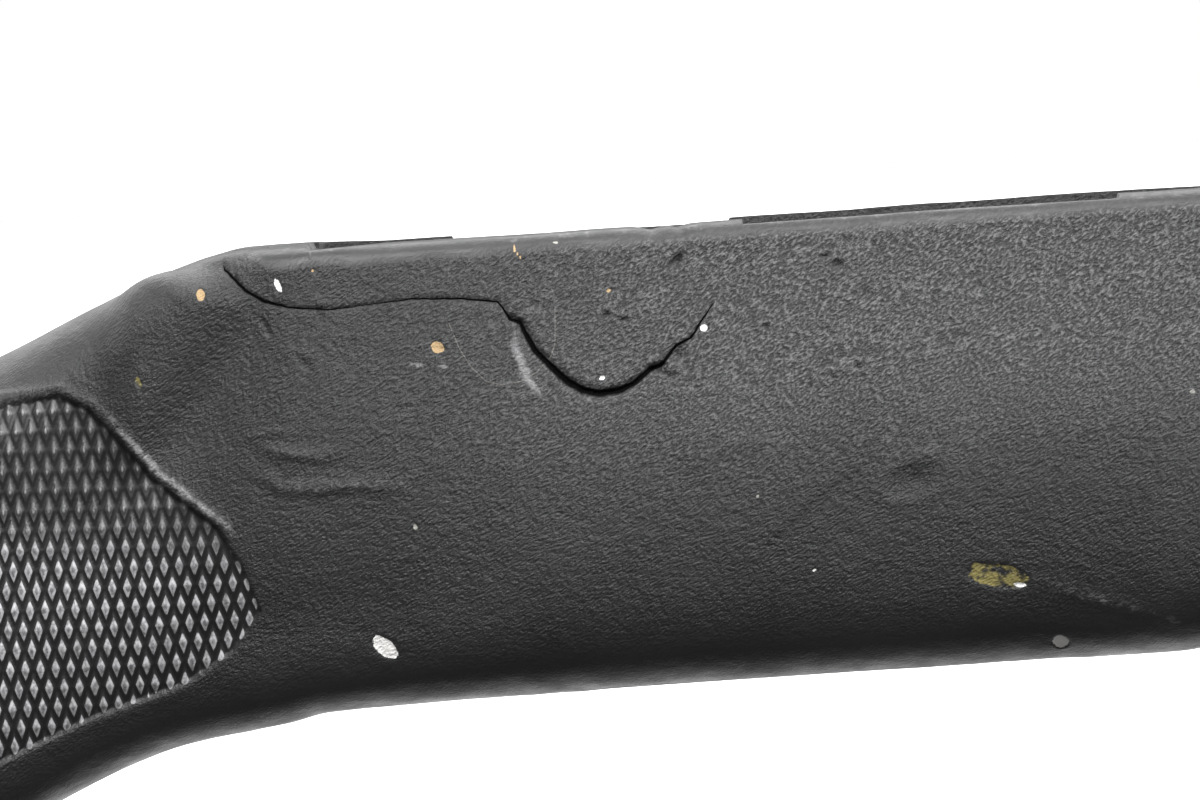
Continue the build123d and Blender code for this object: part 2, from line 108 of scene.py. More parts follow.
# ------------------------------------------------------------------ outline tables, as the CAD has them
TOP = [(-288, -26), (-240, -21.6), (-200, -18), (-160, -14.4), (-130, -11.7), (-115, -10.6), (-105, -10.9), (-95, -12.8),
       (-85, -15.6), (-75, -17.8), (-65, -18.4), (-55, -16.9), (-45, -13.7), (-34.8, -9.7), (-25.7, -5.8), (-16.6, -2.35),
       (-12.2, -1.15), (-7.7, -0.45), (0, -0.5), (10, -0.75), (182, -0.75), (187, -3.0), (193, -6.6), (199, -8.0), (470, -9.0)]
BOT = [(-288, -148), (-270, -140.4), (-240, -127.4), (-200, -109.8), (-160, -92), (-135, -81.2), (-120, -75.6), (-112, -73.8),
       (-106, -74.6), (-100, -78.6), (-95, -83.6), (-89, -88.0), (-82, -89.6), (-74, -88.4), (-66, -84.5), (-58, -78.8),
       (-50, -72.6), (-42, -67.0), (-34, -62.5), (-24.6, -58.6), (-20.1, -57.2), (-15.6, -56.35), (-11.1, -55.75), (-6.6, -55.1),
       (-2.2, -54.25), (6.6, -53.95), (15.5, -53.8), (28.7, -53.8), (50.7, -53.75), (72.6, -53.75), (95, -53.75), (99, -53.45),
       (101.5, -52.3), (103.5, -50.6), (105.5, -49.0), (108, -47.8), (112, -47.1), (118, -46.9), (160, -46.2), (200, -44), (260, -40),
       (340, -37), (420, -34.5), (470, -33)]
HALF_W = [(-288, 20.5), (-240, 20.3), (-200, 19.6), (-160, 18.8), (-130, 18.0), (-100, 17.6), (-80, 17.8), (-60, 18.2),
          (-40, 19.0), (-25, 20.2), (-15, 22.0), (-8, 23.9), (-3, 24.8), (3, 25), (100, 25), (180, 24.6), (220, 23.6),
          (300, 22.6), (400, 21.6), (470, 21.0)]
TOP_R = [(-288, 15), (-200, 14), (-130, 13), (-105, 11.5), (-90, 12.5), (-60, 13.5), (-40, 12.5), (-30, 10.5), (-20, 7),
         (-12, 4), (-6, 2.8), (0, 2.4), (180, 2.4), (200, 2.8), (470, 2.8)]
MID = [(-288, -66), (-240, -57), (-200, -50), (-160, -43), (-130, -38), (-100, -36), (-80, -37), (-60, -35), (-40, -28),
       (-25, -22), (-10, -18), (0, -17), (100, -17), (110, -16.5), (180, -17), (200, -19), (470, -17)]
EXPO = [(-288, 2.6), (-200, 2.5), (-130, 2.5), (-100, 2.6), (-80, 2.7), (-60, 2.8), (-40, 2.9), (-20, 2.6), (0, 2.3),
        (95, 2.3), (108, 2.9), (180, 3.0), (470, 2.6)]
BELLY = [(-288, 0.0), (-40, 0.0), (-20, 0.6), (0, 1.6), (95, 1.6), (108, 0.7), (125, 0.0), (470, 0.0)]


def pchip(table):
    x = np.array([p[0] for p in table], float)
    y = np.array([p[1] for p in table], float)
    h = np.diff(x)
    d = np.diff(y) / h
    g = np.zeros(len(x))
    g[0], g[-1] = d[0], d[-1]
    for i in range(1, len(x) - 1):
        if d[i - 1] * d[i] > 0:
            w1, w2 = 2 * h[i] + h[i - 1], h[i] + 2 * h[i - 1]
            g[i] = (w1 + w2) / (w1 / d[i - 1] + w2 / d[i])

    def f(s):
        s = np.clip(np.asarray(s, float), x[0], x[-1])
        i = np.clip(np.searchsorted(x, s, side="right") - 1, 0, len(x) - 2)
        t = (s - x[i]) / h[i]
        return ((1 + 2 * t) * (1 - t) ** 2 * y[i] + t * (1 - t) ** 2 * h[i] * g[i]
                + t * t * (3 - 2 * t) * y[i + 1] + t * t * (t - 1) * h[i] * g[i + 1])
    return f


f_top, f_bot, f_w, f_r, f_mid, f_n, f_belly = (pchip(t) for t in (TOP, BOT, HALF_W, TOP_R, MID, EXPO, BELLY))

# ------------------------------------------------------------------ deterministic noise


def _hash(i, j, k, seed):
    h = (i.astype(np.int64) * 374761393 + j.astype(np.int64) * 668265263 + k.astype(np.int64) * 2147483647 + seed * 974634777)
    h = (h ^ (h >> 13)) & 0xFFFFFFFF
    h = (h * 1274126177) & 0xFFFFFFFF
    h = (h ^ (h >> 16)) & 0xFFFFFFFF
    return h.astype(np.float64) / 4294967295.0


def vnoise(p, scale, seed):
    """Smooth value noise from -1 to 1 on points (N, 3) in millimetres."""
    q = p / scale + 1000.0 + seed * 17.3
    i = np.floor(q).astype(np.int64)
    f = q - i
    u = f * f * f * (f * (f * 6 - 15) + 10)
    out = 0.0
    for dx in (0, 1):
        wx = u[:, 0] if dx else 1 - u[:, 0]
        for dy in (0, 1):
            wy = u[:, 1] if dy else 1 - u[:, 1]
            for dz in (0, 1):
                wz = u[:, 2] if dz else 1 - u[:, 2]
                out = out + wx * wy * wz * _hash(i[:, 0] + dx, i[:, 1] + dy, i[:, 2] + dz, seed)
    return out * 2 - 1


def fbm(p, scale, octaves, seed):
    out, a = 0.0, 1.0
    for o in range(octaves):
        out = out + a * vnoise(p, scale / 2 ** o, seed + o)
        a *= 0.5
    return out / (2 - 2.0 ** (1 - octaves))


def step(a, b, x):
    t = np.clip((x - a) / (b - a), 0, 1)
    return t * t * (3 - 2 * t)


def line_dist(s, z, poly):
    """Distance to a polyline and how far along it, from 0 to 1."""
    best, along = np.full(s.shape, 1e9), np.zeros(s.shape)
    lens = [math.dist(a, b) for a, b in zip(poly, poly[1:])]
    total, done = sum(lens), 0.0
    for (a, b), ln in zip(zip(poly, poly[1:]), lens):
        dx, dz = b[0] - a[0], b[1] - a[1]
        t = np.clip(((s - a[0]) * dx + (z - a[1]) * dz) / max(ln * ln, 1e-9), 0, 1)
        d = np.hypot(s - a[0] - t * dx, z - a[1] - t * dz)
        near = d < best
        best = np.where(near, d, best)
        along = np.where(near, (done + t * ln) / total, along)
        done += ln
    return best, along


def side_dist(s, z, poly):
    """Distance to an open polyline, negative on its right-hand side; 9 beyond its ends."""
    best, sign, end = np.full(s.shape, 1e9), np.ones(s.shape), np.zeros(s.shape, bool)
    for k, (a, b) in enumerate(zip(poly, poly[1:])):
        dx, dz = b[0] - a[0], b[1] - a[1]
        raw = ((s - a[0]) * dx + (z - a[1]) * dz) / (dx * dx + dz * dz)
        t = np.clip(raw, 0, 1)
        d = np.hypot(s - a[0] - t * dx, z - a[1] - t * dz)
        near = d < best
        best = np.where(near, d, best)
        sign = np.where(near, np.sign(dx * (z - a[1]) - dz * (s - a[0])), sign)
        end = np.where(near, ((k == 0) & (raw < 0)) | ((k == len(poly) - 2) & (raw > 1)), end)
    return np.where(end, 9.0, best * sign)


def inside_dist(s, z, poly):
    """Signed distance to a closed outline, positive inside."""
    d, _ = line_dist(s, z, list(poly) + [poly[0]])
    odd = np.zeros(s.shape, bool)
    for (x0, z0), (x1, z1) in zip(poly, list(poly[1:]) + [poly[0]]):
        if z0 == z1:
            continue
        cross = ((z0 > z) != (z1 > z)) & (s < (x1 - x0) * (z - z0) / (z1 - z0) + x0)
        odd ^= cross
    return np.where(odd, d, -d)


# ------------------------------------------------------------------ sections of one half
N_E, N_B, N_C, N_D = 12, 28, 8, 10
INLET_Y, FLOOR, CHANNEL_R, CHANNEL_Z = 19.5, -24.0, 15.0, -11.0
SLOT, WELL = (26.0, 86.0, 10.0, 5.0), (109.0, 163.0, 14.5, 3.0)
PILLARS = ((13.0, -48.0), (176.0, -40.0))


def resample(p, n):
    seg = np.hypot(np.diff(p[:, 0]), np.diff(p[:, 1]))
    acc = np.concatenate([[0], np.cumsum(seg)])
    t = np.linspace(0, acc[-1], n)
    return np.stack([np.interp(t, acc, p[:, 0]), np.interp(t, acc, p[:, 1])], 1)


def opening_half(s):
    """Half width of whatever opening passes through the belly here: (lower, upper, step height)."""
    for s0, s1, hw, r in (SLOT, WELL):
        if s0 < s < s1:
            e = min(s - s0, s1 - s)
            y = hw if e >= r else hw - r + math.sqrt(max(r * r - (r - e) ** 2, 0))
            return y, y, -30.0
    for c, zc in PILLARS:
        if abs(s - c) < 8.0:
            return math.sqrt(64 - (s - c) ** 2), math.sqrt(max(49 - (s - c) ** 2, 0)), zc
    return 0.0, 0.0, -30.0


def full_outline(s, inset=0.0):
    zt, zb, w = float(f_top(s)) - inset, float(f_bot(s)) + inset, float(f_w(s)) - inset
    zm, n = float(f_mid(s)), float(f_n(s))
    m = n + float(f_belly(s))
    r = min(max(float(f_r(s)) - inset, 1.0), w - 2.0)
    crown = 0.012 * (w - r)
    a = np.linspace(0, math.pi / 2, 28)
    arc = np.stack([w - r + r * np.sin(a), zt - r + r * np.cos(a)], 1)
    t = np.linspace(0, math.pi / 2, 260)
    low = np.stack([w * np.maximum(np.cos(t), 0) ** (2 / m), zm - (zm - zb) * np.sin(t) ** (2 / n)], 1)
    return zt, w, r, crown, np.concatenate([arc, low]), n


def loop(s, kind, n_a, cap):
    """(y, z) of the whole loop at station s; the first N_E + n_a points are the outer skin."""
    zt, w, r, crown, down, n = full_outline(s)
    if kind in ("solid", "cavity"):
        y_in = 0.0
    elif kind == "inlet":
        e = min(s, 5.0)
        y_in = INLET_Y - 5 + math.sqrt(max(25 - (5 - e) ** 2, 0))
    else:
        y_in = CHANNEL_R
    ys = np.linspace(y_in, w - r, N_E + 1)[:-1]
    e_part = np.stack([ys, zt + crown * (1 - (ys / (w - r)) ** 2)], 1)
    y1, y2, zc = opening_half(s) if kind == "inlet" else (0.0, 0.0, -30.0)
    if y1 > 0:
        k = int(np.argmax((down[:, 0] < y1) & (np.arange(len(down)) > 60)))
        a, b = down[k - 1], down[k]
        u = (a[0] - y1) / max(a[0] - b[0], 1e-9)
        down = np.concatenate([down[:k], [[y1, a[1] + (b[1] - a[1]) * u]]])
    else:
        down = down.copy()
        down[-1, 0] = 0.0
    # the side's rows stay put where a belly opening shortens the section
    y_cut = 0.66 * w
    k = int(np.argmax((down[:, 0] < y_cut) & (np.arange(len(down)) > 60)))
    a, b = down[k - 1], down[k]
    u = (a[0] - y_cut) / max(a[0] - b[0], 1e-9)
    cut_at = np.array([[y_cut, a[1] + (b[1] - a[1]) * u]])
    n_low = int(n_a * 0.2)
    a_part = np.concatenate([resample(np.concatenate([down[:k], cut_at]), n_a - n_low),
                             resample(np.concatenate([cut_at, down[k:]]), n_low + 1)[1:]])
    foot = a_part[-1]
    if kind == "cavity":
        zt2, w2, r2, crown2, down2, _ = full_outline(s, 3.0)
        ys = np.linspace(0, w2 - r2, 8)[:-1]
        inner = np.concatenate([np.stack([ys, zt2 + 0 * ys], 1), down2])[::-1]
        inner[0, 0] = 0.0
        b_path = np.concatenate([[foot], inner])
        b_part = resample(b_path, N_B + 1)[1:]
        top = np.array([0.0, e_part[0, 1]])
        cd = np.linspace(b_part[-1], top, N_C + N_D + 1)[1:]
        cd[-1] = top + (b_part[-1] - top) * 0.02
    elif kind == "solid":
        t = step(-122.0, 0.0, s)
        z_end = (e_part[0, 1] - 3.0) * (1 - t) + FLOOR * t
        z_end = min(z_end, e_part[0, 1] - 1.0)
        b_part = np.linspace(foot, [0.0, z_end], N_B + 1)[1:]
        cd = np.linspace([0.0, z_end], e_part[0], N_C + N_D + 1)[1:]
        cd[-1] = e_part[0] + (cd[-2] - e_part[0]) * 0.1
    else:
        floor = FLOOR if kind == "inlet" else CHANNEL_Z - CHANNEL_R
        if y1 > 0:
            path = np.array([foot, [y1, zc], [y2, zc], [y2, floor]])
            n1 = int(N_B * 0.3)
            b_part = np.concatenate([np.linspace(path[0], path[1], n1 + 1)[1:],
                                     np.linspace(path[1], path[2], 4 + 1)[1:],
                                     np.linspace(path[2], path[3], N_B - n1 - 4 + 1)[1:]])
        else:
            b_part = np.linspace(foot, [0.0, floor], N_B + 1)[1:]
        if kind == "inlet":
            c_part = np.linspace([y2, floor], [y_in, floor], N_C + 1)[1:]
        else:
            ang = np.linspace(0, math.pi / 2, N_C + 1)[1:]
            c_part = np.stack([CHANNEL_R * np.sin(ang), CHANNEL_Z - CHANNEL_R * np.cos(ang)], 1)
        d_part = np.linspace(c_part[-1], e_part[0], N_D + 1)[1:]
        d_part[-1] = e_part[0] + (d_part[-2] - e_part[0]) * 0.04
        cd = np.concatenate([c_part, d_part])
    out = np.concatenate([e_part, a_part, b_part, cd])
    skin = N_E + n_a
    out[:skin, 1] = np.minimum(out[:skin, 1], cap)
    out[skin + N_B:, 1] = np.minimum(out[skin + N_B:, 1], cap)
    return out


# ------------------------------------------------------------------ surface features, on the side (s, z)
PANEL = [(-36.3, -15.6), (-29.8, -15.0), (-26.3, -16.9), (-22.85, -20.85), (-19.65, -25.1), (-12.6, -31.3), (-10.0, -36.3),
         (-8.4, -41.7), (-11.9, -46.2), (-17.6, -49.4), (-25.6, -51.6), (-29.1, -52.7), (-34.8, -55.0), (-39.2, -56.8),
         (-47, -61.0), (-55, -66.3), (-63, -70.5), (-70, -72.0), (-76, -70.5), (-80, -66.5), (-80.5, -61.0), (-77, -54.0),
         (-71.5, -46.0), (-65, -38.0), (-58, -30.5), (-51, -24.0), (-44, -18.5)]
PATCH = [(-9.99, -1.79), (-9.8, -2.37), (-7.62, -4.87), (-5.58, -6.24), (-2.62, -7.12), (1.61, -7.63), (5.11, -7.42),
         (11.08, -7.04), (13.2, -7.19), (16.67, -7.42), (20.44, -8.02), (20.96, -8.61), (21.75, -10.13), (22.87, -10.5),
         (23.33, -11.69), (24.31, -13.78), (25.87, -15.57), (27.55, -17.37), (29.37, -18.61), (31.13, -19.07), (33.39, -18.89),
         (35.12, -18.22), (37.13, -16.67), (38.39, -16.31), (40.1, -14.29), (41.96, -13.41), (42.96, -11.91), (45.04, -9.24),
         (46.2, -5.0), (46.8, -1.0), (47.2, 6.0), (-10.2, 6.0)]
LEDGE = PATCH[0:13]
CRACK = [(22.0, -9.92)] + PATCH[13:24]
SEAM = LEDGE + CRACK[:1] + PATCH[13:28]
SEAM_W = ([0.02, 0.16, 0.20, 0.22, 0.13, 0.09, 0.05, 0.10, 0.11, 0.12, 0.13, 0.13, 0.16] + [0.20]
          + [0.24, 0.30, 0.36, 0.42, 0.48, 0.52, 0.50, 0.44, 0.38, 0.30, 0.24, 0.20, 0.17, 0.14, 0.02])
SPUR = [(37.13, -16.67), (38.35, -16.98), (39.65, -17.63)]
BRANCH = [(38.39, -16.31), (40.1, -14.29), (41.96, -13.41), (42.96, -11.91), (45.04, -9.24)]
LIP = [(22.0, -11.04), (22.4, -14.3), (23.25, -17.3), (25.2, -19.6)]
HAIR = [(14.82, -9.87), (15.9, -13.0), (17.04, -15.08), (18.6, -16.8), (20.25, -17.32), (22.4, -17.1), (24.26, -16.24), (26.0, -14.6),
        (26.6, -13.15), (26.89, -8.9)]
BAND = [(-8.3, -4.8), (-12.5, -9.0), (-16.0, -13.5), (-19.4, -18.7)]
FOLDS = [([(-7.5, -22.2), (-4.5, -23.4), (-1.0, -24.0), (2.0, -23.8)], 0.30, 0.75),
         ([(-8.3, -25.2), (-5.0, -27.2), (-1.0, -27.6), (3.5, -27.4), (8.0, -28.2)], 0.34, 0.85),
         ([(-9.0, -21.5), (-6.0, -20.9), (-3.0, -21.1)], 0.14, 0.6),
         ([(79.0, -43.8), (87.0, -46.8), (95.5, -49.7)], 0.16, 0.9),
         ([(40.7, -28.3), (44.5, -25.9), (47.1, -25.3), (51.0, -26.2)], 0.10, 0.5),
         ([(52.0, -19.8), (56.5, -18.2), (61.0, -18.6)], 0.08, 0.5)]
DENTS = [(40.74, -4.91, 1.1, 0.5, 45, 0.55), (57.4, -5.6, 0.5, 0.4, 0, 0.3), (58.8, -6.5, 0.7, 0.5, 0, 0.35),
         (32.6, -10.3, 0.5, 0.35, 40, 0.35), (34.4, -11.0, 0.45, 0.35, 20, 0.35), (65.8, -31.1, 2.6, 1.5, 15, 0.35),
         (60.2, -18.1, 0.5, 0.4, 0, 0.25), (50.3, -12.9, 0.45, 0.3, 30, 0.3), (-5.6, -9.2, 0.35, 1.3, 25, 0.22),
         (0.6, -8.2, 0.4, 1.0, 15, 0.2), (-1.5, -13.5, 0.4, 1.4, 42, 0.2), (4.0, -11.4, 0.5, 0.4, 0, 0.2),
         (40.2, -15.3, 1.0, 0.6, 60, 0.4)]
# centre s, z, half length, half width, turn, kind: 0 white, 1 tan, 2 olive; the white one at s 77, z -44 is a painted
# highlight, a glint drawn as a white chip
CHIPS = [(4.98, -46.64, 1.75, 0.95, -38, 0), (-3.89, -4.56, 0.85, 0.34, -68, 0), (43.37, -12.49, 0.42, 0.4, 0, 0),
         (81.46, -51.08, 0.95, 0.7, -20, 0), (77.0, -44.0, 0.8, 0.25, -8, 0), (74.6, -42.7, 3.4, 1.3, -14, 2),
         (13.4, -12.58, 0.85, 0.6, -20, 1), (-12.68, -5.19, 0.5, 0.55, 0, 1), (-15.76, -1.06, 0.5, 0.3, 10, 1),
         (-17.46, -2.96, 0.28, 0.25, 0, 1), (-20.4, -14.3, 0.3, 0.75, 10, 2), (31.6, -17.3, 0.3, 0.25, 0, 0),
         (0.1, -3.1, 0.22, 0.22, 0, 1), (33.0, -7.6, 0.25, 0.22, 0, 1), (54.0, -40.6, 0.3, 0.2, 10, 0)]


def ellipse(s, z, c):
    a = math.radians(c[4])
    u = (s - c[0]) * math.cos(a) + (z - c[1]) * math.sin(a)
    v = -(s - c[0]) * math.sin(a) + (z - c[1]) * math.cos(a)
    return np.hypot(u / c[2], v / c[3])


CH_A, CH_B, PITCH = math.radians(-22.7), math.radians(18.9), 1.6


def features(p, nrm, right_side):
    """Displacement along the outline's normal, in millimetres, and the colour masks, painted highlights and painted
    shade among them.
    """
    s, y, z = p[:, 0], p[:, 1], p[:, 2]
    side = step(0.12, 0.5, np.abs(nrm[:, 0]))
    n = len(s)
    disp = 0.20 * fbm(p, 38.0, 2, 3) + 0.07 * fbm(p, 9.0, 2, 11)
    fine = (s > -95) & (s < 130)
    disp[fine] += 0.035 * fbm(p[fine], 2.4, 2, 23)
    masks = {k: np.zeros(n) for k in ("smooth", "white", "tan", "olive", "wear_and_painted_highlight", "painted_shade_and_dark_marks", "glint", "painted_light_upper", "seam_w", "peak", "shine")}
    masks["seam_d"], masks["hair_d"] = np.full(n, 9.0), np.full(n, 9.0)
    # mould seam along the middle
    disp -= 0.07 * np.exp(-(y / 0.45) ** 2)
    # checkering
    near = (s > -86) & (s < -3) & (z < -10) & (z > -78)
    sn, zn = s[near], z[near]
    d = inside_dist(sn, zn, PANEL)
    inn = step(-0.15, 0.55, d)
    ua = (sn * math.cos(CH_A) + zn * math.sin(CH_A)) / PITCH
    ub = (sn * math.cos(CH_B) + zn * math.sin(CH_B)) / PITCH
    ga, gb = 1 - np.abs(2 * (ua - np.floor(ua)) - 1), 1 - np.abs(2 * (ub - np.floor(ub)) - 1)
    peak = np.minimum(np.minimum(ga, gb), 0.93) / 0.93
    worn = 0.5 + 0.5 * vnoise(np.stack([sn, sn * 0, zn], 1), 9.0, 71)
    amp = 0.62 * (0.82 + 0.18 * worn) * (0.35 + 0.65 * step(-8.0, -15.5, sn))
    tip = step(-20.0, -9.5, sn) * step(-30, -36, zn)
    depth = -0.50 * (1 - 0.55 * tip)
    lip = 0.30 * np.exp(-((d + 0.55) / 0.6) ** 2) * (0.15 + 0.85 * step(-36, -30, zn)) * (1 - 0.8 * tip)
    sd = side[near]
    disp[near] = (disp[near] * (1 - 0.5 * inn) + sd * (inn * (depth + amp * peak) + lip))
    masks["smooth"][near] = np.maximum(masks["smooth"][near], sd * inn * 0.96)
    # painted shade: the checkering's grooves are darkened
    masks["painted_shade_and_dark_marks"][near] += sd * inn * step(0.55, 0.0, peak) * 0.9
    # glint: painted highlight on the diamonds' peaks; it also lowers the roughness there
    masks["glint"][near] = sd * inn * step(0.3, 0.9, peak)
    edge_w = np.exp(-((d + 0.75) / (0.55 + 0.3 * vnoise(np.stack([sn, sn * 0, zn], 1), 2.2, 72))) ** 2)
    right_edge = step(-27.0, -21.0, sn) * step(-33.5, -29.5, zn)
    # lighter on the diamonds' peaks and along the panel's right border: partly rubbed paint, partly painted highlight
    # where the edge catches the light
    masks["wear_and_painted_highlight"][near] += sd * (0.12 * inn * step(0.62, 0.95, peak) * (0.4 + 0.6 * worn) + edge_w * (0.62 * right_edge + 0.14 * step(-24, -34, sn)))
    masks["peak"][near] = peak * inn
    # shine: painted highlight along the diamonds' rims, mostly on the lower half of the panel
    masks["shine"][near] = sd * inn * (0.10 + 0.90 * step(-27.0, -37.0, zn + 0.10 * (sn + 30.0))) * (0.75 + 0.25 * worn)
    # painted light: the upper part of the near side gets lighter grain crests as if lit from above, fading in from z
    # -43 to -20 and strongest from s 52 forwards; 0.05 elsewhere
    masks["painted_light_upper"] = step(-43.0, -20.0, z - 0.10 * np.clip(s, 0, 60)) * (0.10 + 0.90 * step(0.0, 52.0, s)) * step(-30.0, 0.0, s) + 0.05
    # rounded top band, wrist and belly are rubbed smooth
    wob = 0.5 * vnoise(p, 3.0, 31) + 0.3 * vnoise(p, 1.1, 32)
    top = f_top(s)
    masks["smooth"] = np.maximum(masks["smooth"], 0.9 * step(-3.0, -2.1, z - 7.0 * step(-3.5, -13.0, s) - 60.0 * step(-13.0, -16.0, s) + wob * 0.5))
    wrist = step(0.0, 4.0, (z - (-2.5 + 0.55 * (s + 6.0))) + wob) * step(-4.0, -10.0, s) * step(-130.0, -90.0, s)
    masks["smooth"] = np.maximum(masks["smooth"], 0.72 * wrist)
    belly = step(0.35, 0.8, -nrm[:, 1]) * step(140, 100, s)
    masks["smooth"] = np.maximum(masks["smooth"], 0.65 * belly)
    if right_side:
        near = (s > -26) & (s < 100) & (z < 1)
        sn, zn, sd = s[near], z[near], side[near]
        dd = np.zeros(sn.shape)
        bd, _ = line_dist(sn, zn, BAND)
        across = ((sn + 8.3) * -0.78 + (zn + 4.8) * 0.625)         # towards the wrist's upper side
        swell = step(-4.5, 4.0, across) * np.exp(-np.maximum(across - 4.0, 0) ** 2 / 70.0) * step(-1.0, -8.0, sn) * step(-34.0, -24.0, zn) * step(-2.5, -7.5, zn + 0.25 * (sn + 8.0))
        dd += 2.1 * swell * step(-26.0, -20.0, sn) - 0.75 * np.exp(-((across + 3.5) / 3.8) ** 2) * step(0.0, -10.0, sn) * step(-32.0, -22.0, zn)
        dd -= 1.6 * np.clip((-16.0 - zn) / 26.0, 0, 1.1) ** 1.4 * step(30.0, -4.0, sn) * step(-24.0, -10.0, sn) * step(1.0, 15.0, zn - f_bot(sn))
        for pts, amp_f, wid in FOLDS:
            fd, al = line_dist(sn, zn, pts)
            g = np.exp(-(fd / wid) ** 2) * np.sin(np.clip(al, 0.03, 0.97) * math.pi) ** 0.5
            dd += amp_f * g
            # painted highlight along the ridges of the folds
            masks["wear_and_painted_highlight"][near] += 0.62 * amp_f * g
        pn = np.stack([sn, sn * 0, zn], 1)
        sj, zj = sn, zn
        pd = inside_dist(sn, zn, PATCH)
        dd += 0.10 * step(-0.25, 0.3, pd) * step(48, 43, sn)
        masks["seam_d"][near] = np.clip(pd, -3, 3)
        knots = np.concatenate([[0], np.cumsum([math.dist(a, b) for a, b in zip(SEAM, SEAM[1:])])])
        sd0, al = line_dist(sn, zn, SEAM)
        masks["seam_w"][near] = np.interp(al * knots[-1], knots, SEAM_W[:len(SEAM)]) * (sd0 < 2.5) * (sd > 0.2)
        masks["hair_d"][near] = np.clip(side_dist(sn, zn, HAIR), -9, 9)
        for pts, wid in ((SPUR, 0.42), ([(-8.5, -3.2), (-7.4, -5.0), (-5.6, -6.3)], 0.4), ([(48.9, -37.2), (56.0, -31.5), (59.6, -29.5)], 0.3)):
            xd, al = line_dist(sn, zn, pts)
            # darker along these three short crack lines
            masks["painted_shade_and_dark_marks"][near] += 1.1 * np.exp(-(xd / wid) ** 2)
        ld, al = line_dist(sj, zj, LEDGE)
        dd -= 0.14 * np.exp(-(ld / 0.34) ** 2)
        cd, al = line_dist(sj, zj, CRACK)
        wid = 0.34 + 0.22 * np.sin(np.clip(al, 0, 1) * math.pi)
        dd -= 0.55 * np.exp(-(cd / wid) ** 2)
        for pts, dep, wid in ((SPUR, 0.4, 0.40), (BRANCH, 0.2, 0.34)):
            bd2, al = line_dist(sj, zj, pts)
            dd -= dep * np.exp(-(bd2 / wid) ** 2) * (1 - 0.7 * al)
        lp, al = line_dist(sn + 0.4 * vnoise(pn, 1.6, 45), zn, LIP)
        g = np.exp(-(lp / 0.62) ** 2) * np.sin(np.clip(al, 0.02, 0.98) * math.pi) ** 0.6
        dd += 0.20 * g
        # lighter along the raised lip
        masks["wear_and_painted_highlight"][near] += 0.85 * g
        for c in DENTS:
            e = ellipse(sn, zn, c)
            dd += c[5] * (-np.exp(-e ** 2) + 0.32 * np.exp(-((e - 1.6) / 0.5) ** 2))
            # darker in the dents
            masks["painted_shade_and_dark_marks"][near] += 0.7 * np.exp(-e ** 2)
        for c in CHIPS:
            e = ellipse(sn, zn, c)
            e = e + 0.18 * vnoise(pn, 0.7, 46)
            value = np.clip(1.5 - e, 0, 1.5) / 1.5
            key = ("white", "tan", "olive")[c[5]]
            masks[key][near] = np.maximum(masks[key][near], value)
            dd -= 0.16 * step(1.25, 0.85, e)
        ln, _ = line_dist(sn, zn, [(22.6, -1.3), (22.75, -2.4), (23.6, -3.5)])
        masks["tan"][near] = np.maximum(masks["tan"][near], 0.62 * np.exp(-(ln / 0.16) ** 2))
        # light streaks: the ones along the folds at s -8 to 6 and s 79 to 95 are painted highlight on those ridges, the
        # others rubbed marks
        for (a0, b0), (a1, b1), wid, val in (((13.0, -38.6), (20.9, -39.3), 0.9, 0.35), ((10.4, -14.3), (14.4, -14.9), 0.28, 0.8),
                                             ((42.0, -37.5), (60.0, -40.5), 0.25, 0.3), ((44.0, -39.5), (58.0, -39.0), 0.2, 0.25),
                                             ((79.0, -43.8), (95.5, -49.7), 0.7, 0.28), ((-8.3, -25.2), (6.0, -28.0), 0.8, 0.10)):
            sc, al = line_dist(sn, zn, [(a0, b0), (a1, b1)])
            masks["wear_and_painted_highlight"][near] += val * np.exp(-(sc / wid) ** 2) * (0.5 + 0.5 * vnoise(pn, 0.8, 47))
        disp[near] += dd * sd
        notch = np.exp(-((s - 38.2) / 1.3) ** 2) + 0.8 * np.exp(-((s - 41.2) / 0.9) ** 2)
        disp -= 0.42 * notch * step(-3.0, -1.0, z) * (s > 30)
    else:
        near = (s > -20) & (s < 120) & (z < 1)
        pn = p[near]
        disp[near] += side[near] * 0.05 * fbm(pn, 5.0, 2, 61)
    # bare rubbed edges of the rails
    rail = (s > -8) & (s < 470)
    edge = step(-1.3, -0.5, z - top) * rail
    masks["wear_and_painted_highlight"] += 0.30 * edge * (0.5 + 0.5 * vnoise(p, 2.0, 51))
    return disp, masks


# ------------------------------------------------------------------ meshes


def new_object(name, verts, faces, body, material, smooth_angle=None, attrs=None):
    mesh = bpy.data.meshes.new(name)
    verts = np.asarray(verts, np.float32)
    quads = [f for f in faces if len(f) == 4] if not isinstance(faces, np.ndarray) else faces
    mesh.vertices.add(len(verts))
    mesh.vertices.foreach_set("co", verts.ravel())
    if isinstance(faces, np.ndarray):
        flat, starts = faces.ravel(), np.arange(len(faces)) * faces.shape[1]
    else:
        flat = np.array([i for f in faces for i in f], np.int32)
        starts = np.cumsum([0] + [len(f) for f in faces[:-1]])
    mesh.loops.add(len(flat))
    mesh.loops.foreach_set("vertex_index", flat.astype(np.int32))
    mesh.polygons.add(len(starts))
    mesh.polygons.foreach_set("loop_start", starts.astype(np.int32))
    mesh.update(calc_edges=True)
    mesh.validate()
    mesh.polygons.foreach_set("use_smooth", np.ones(len(mesh.polygons), bool))
    for key, value in (attrs or {}).items():
        a = mesh.attributes.new(key, "FLOAT", "POINT")
        a.data.foreach_set("value", np.asarray(value, np.float32))
    if smooth_angle:
        mesh.set_sharp_from_angle(angle=math.radians(smooth_angle))
    mesh.materials.append(material)
    o = bpy.data.objects.new(name, mesh)
    bpy.context.scene.collection.objects.link(o)
    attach(o, body)
    return o


def span(a, b, h):
    return list(np.linspace(a, b, max(1, int(round((b - a) / h))) + 1))


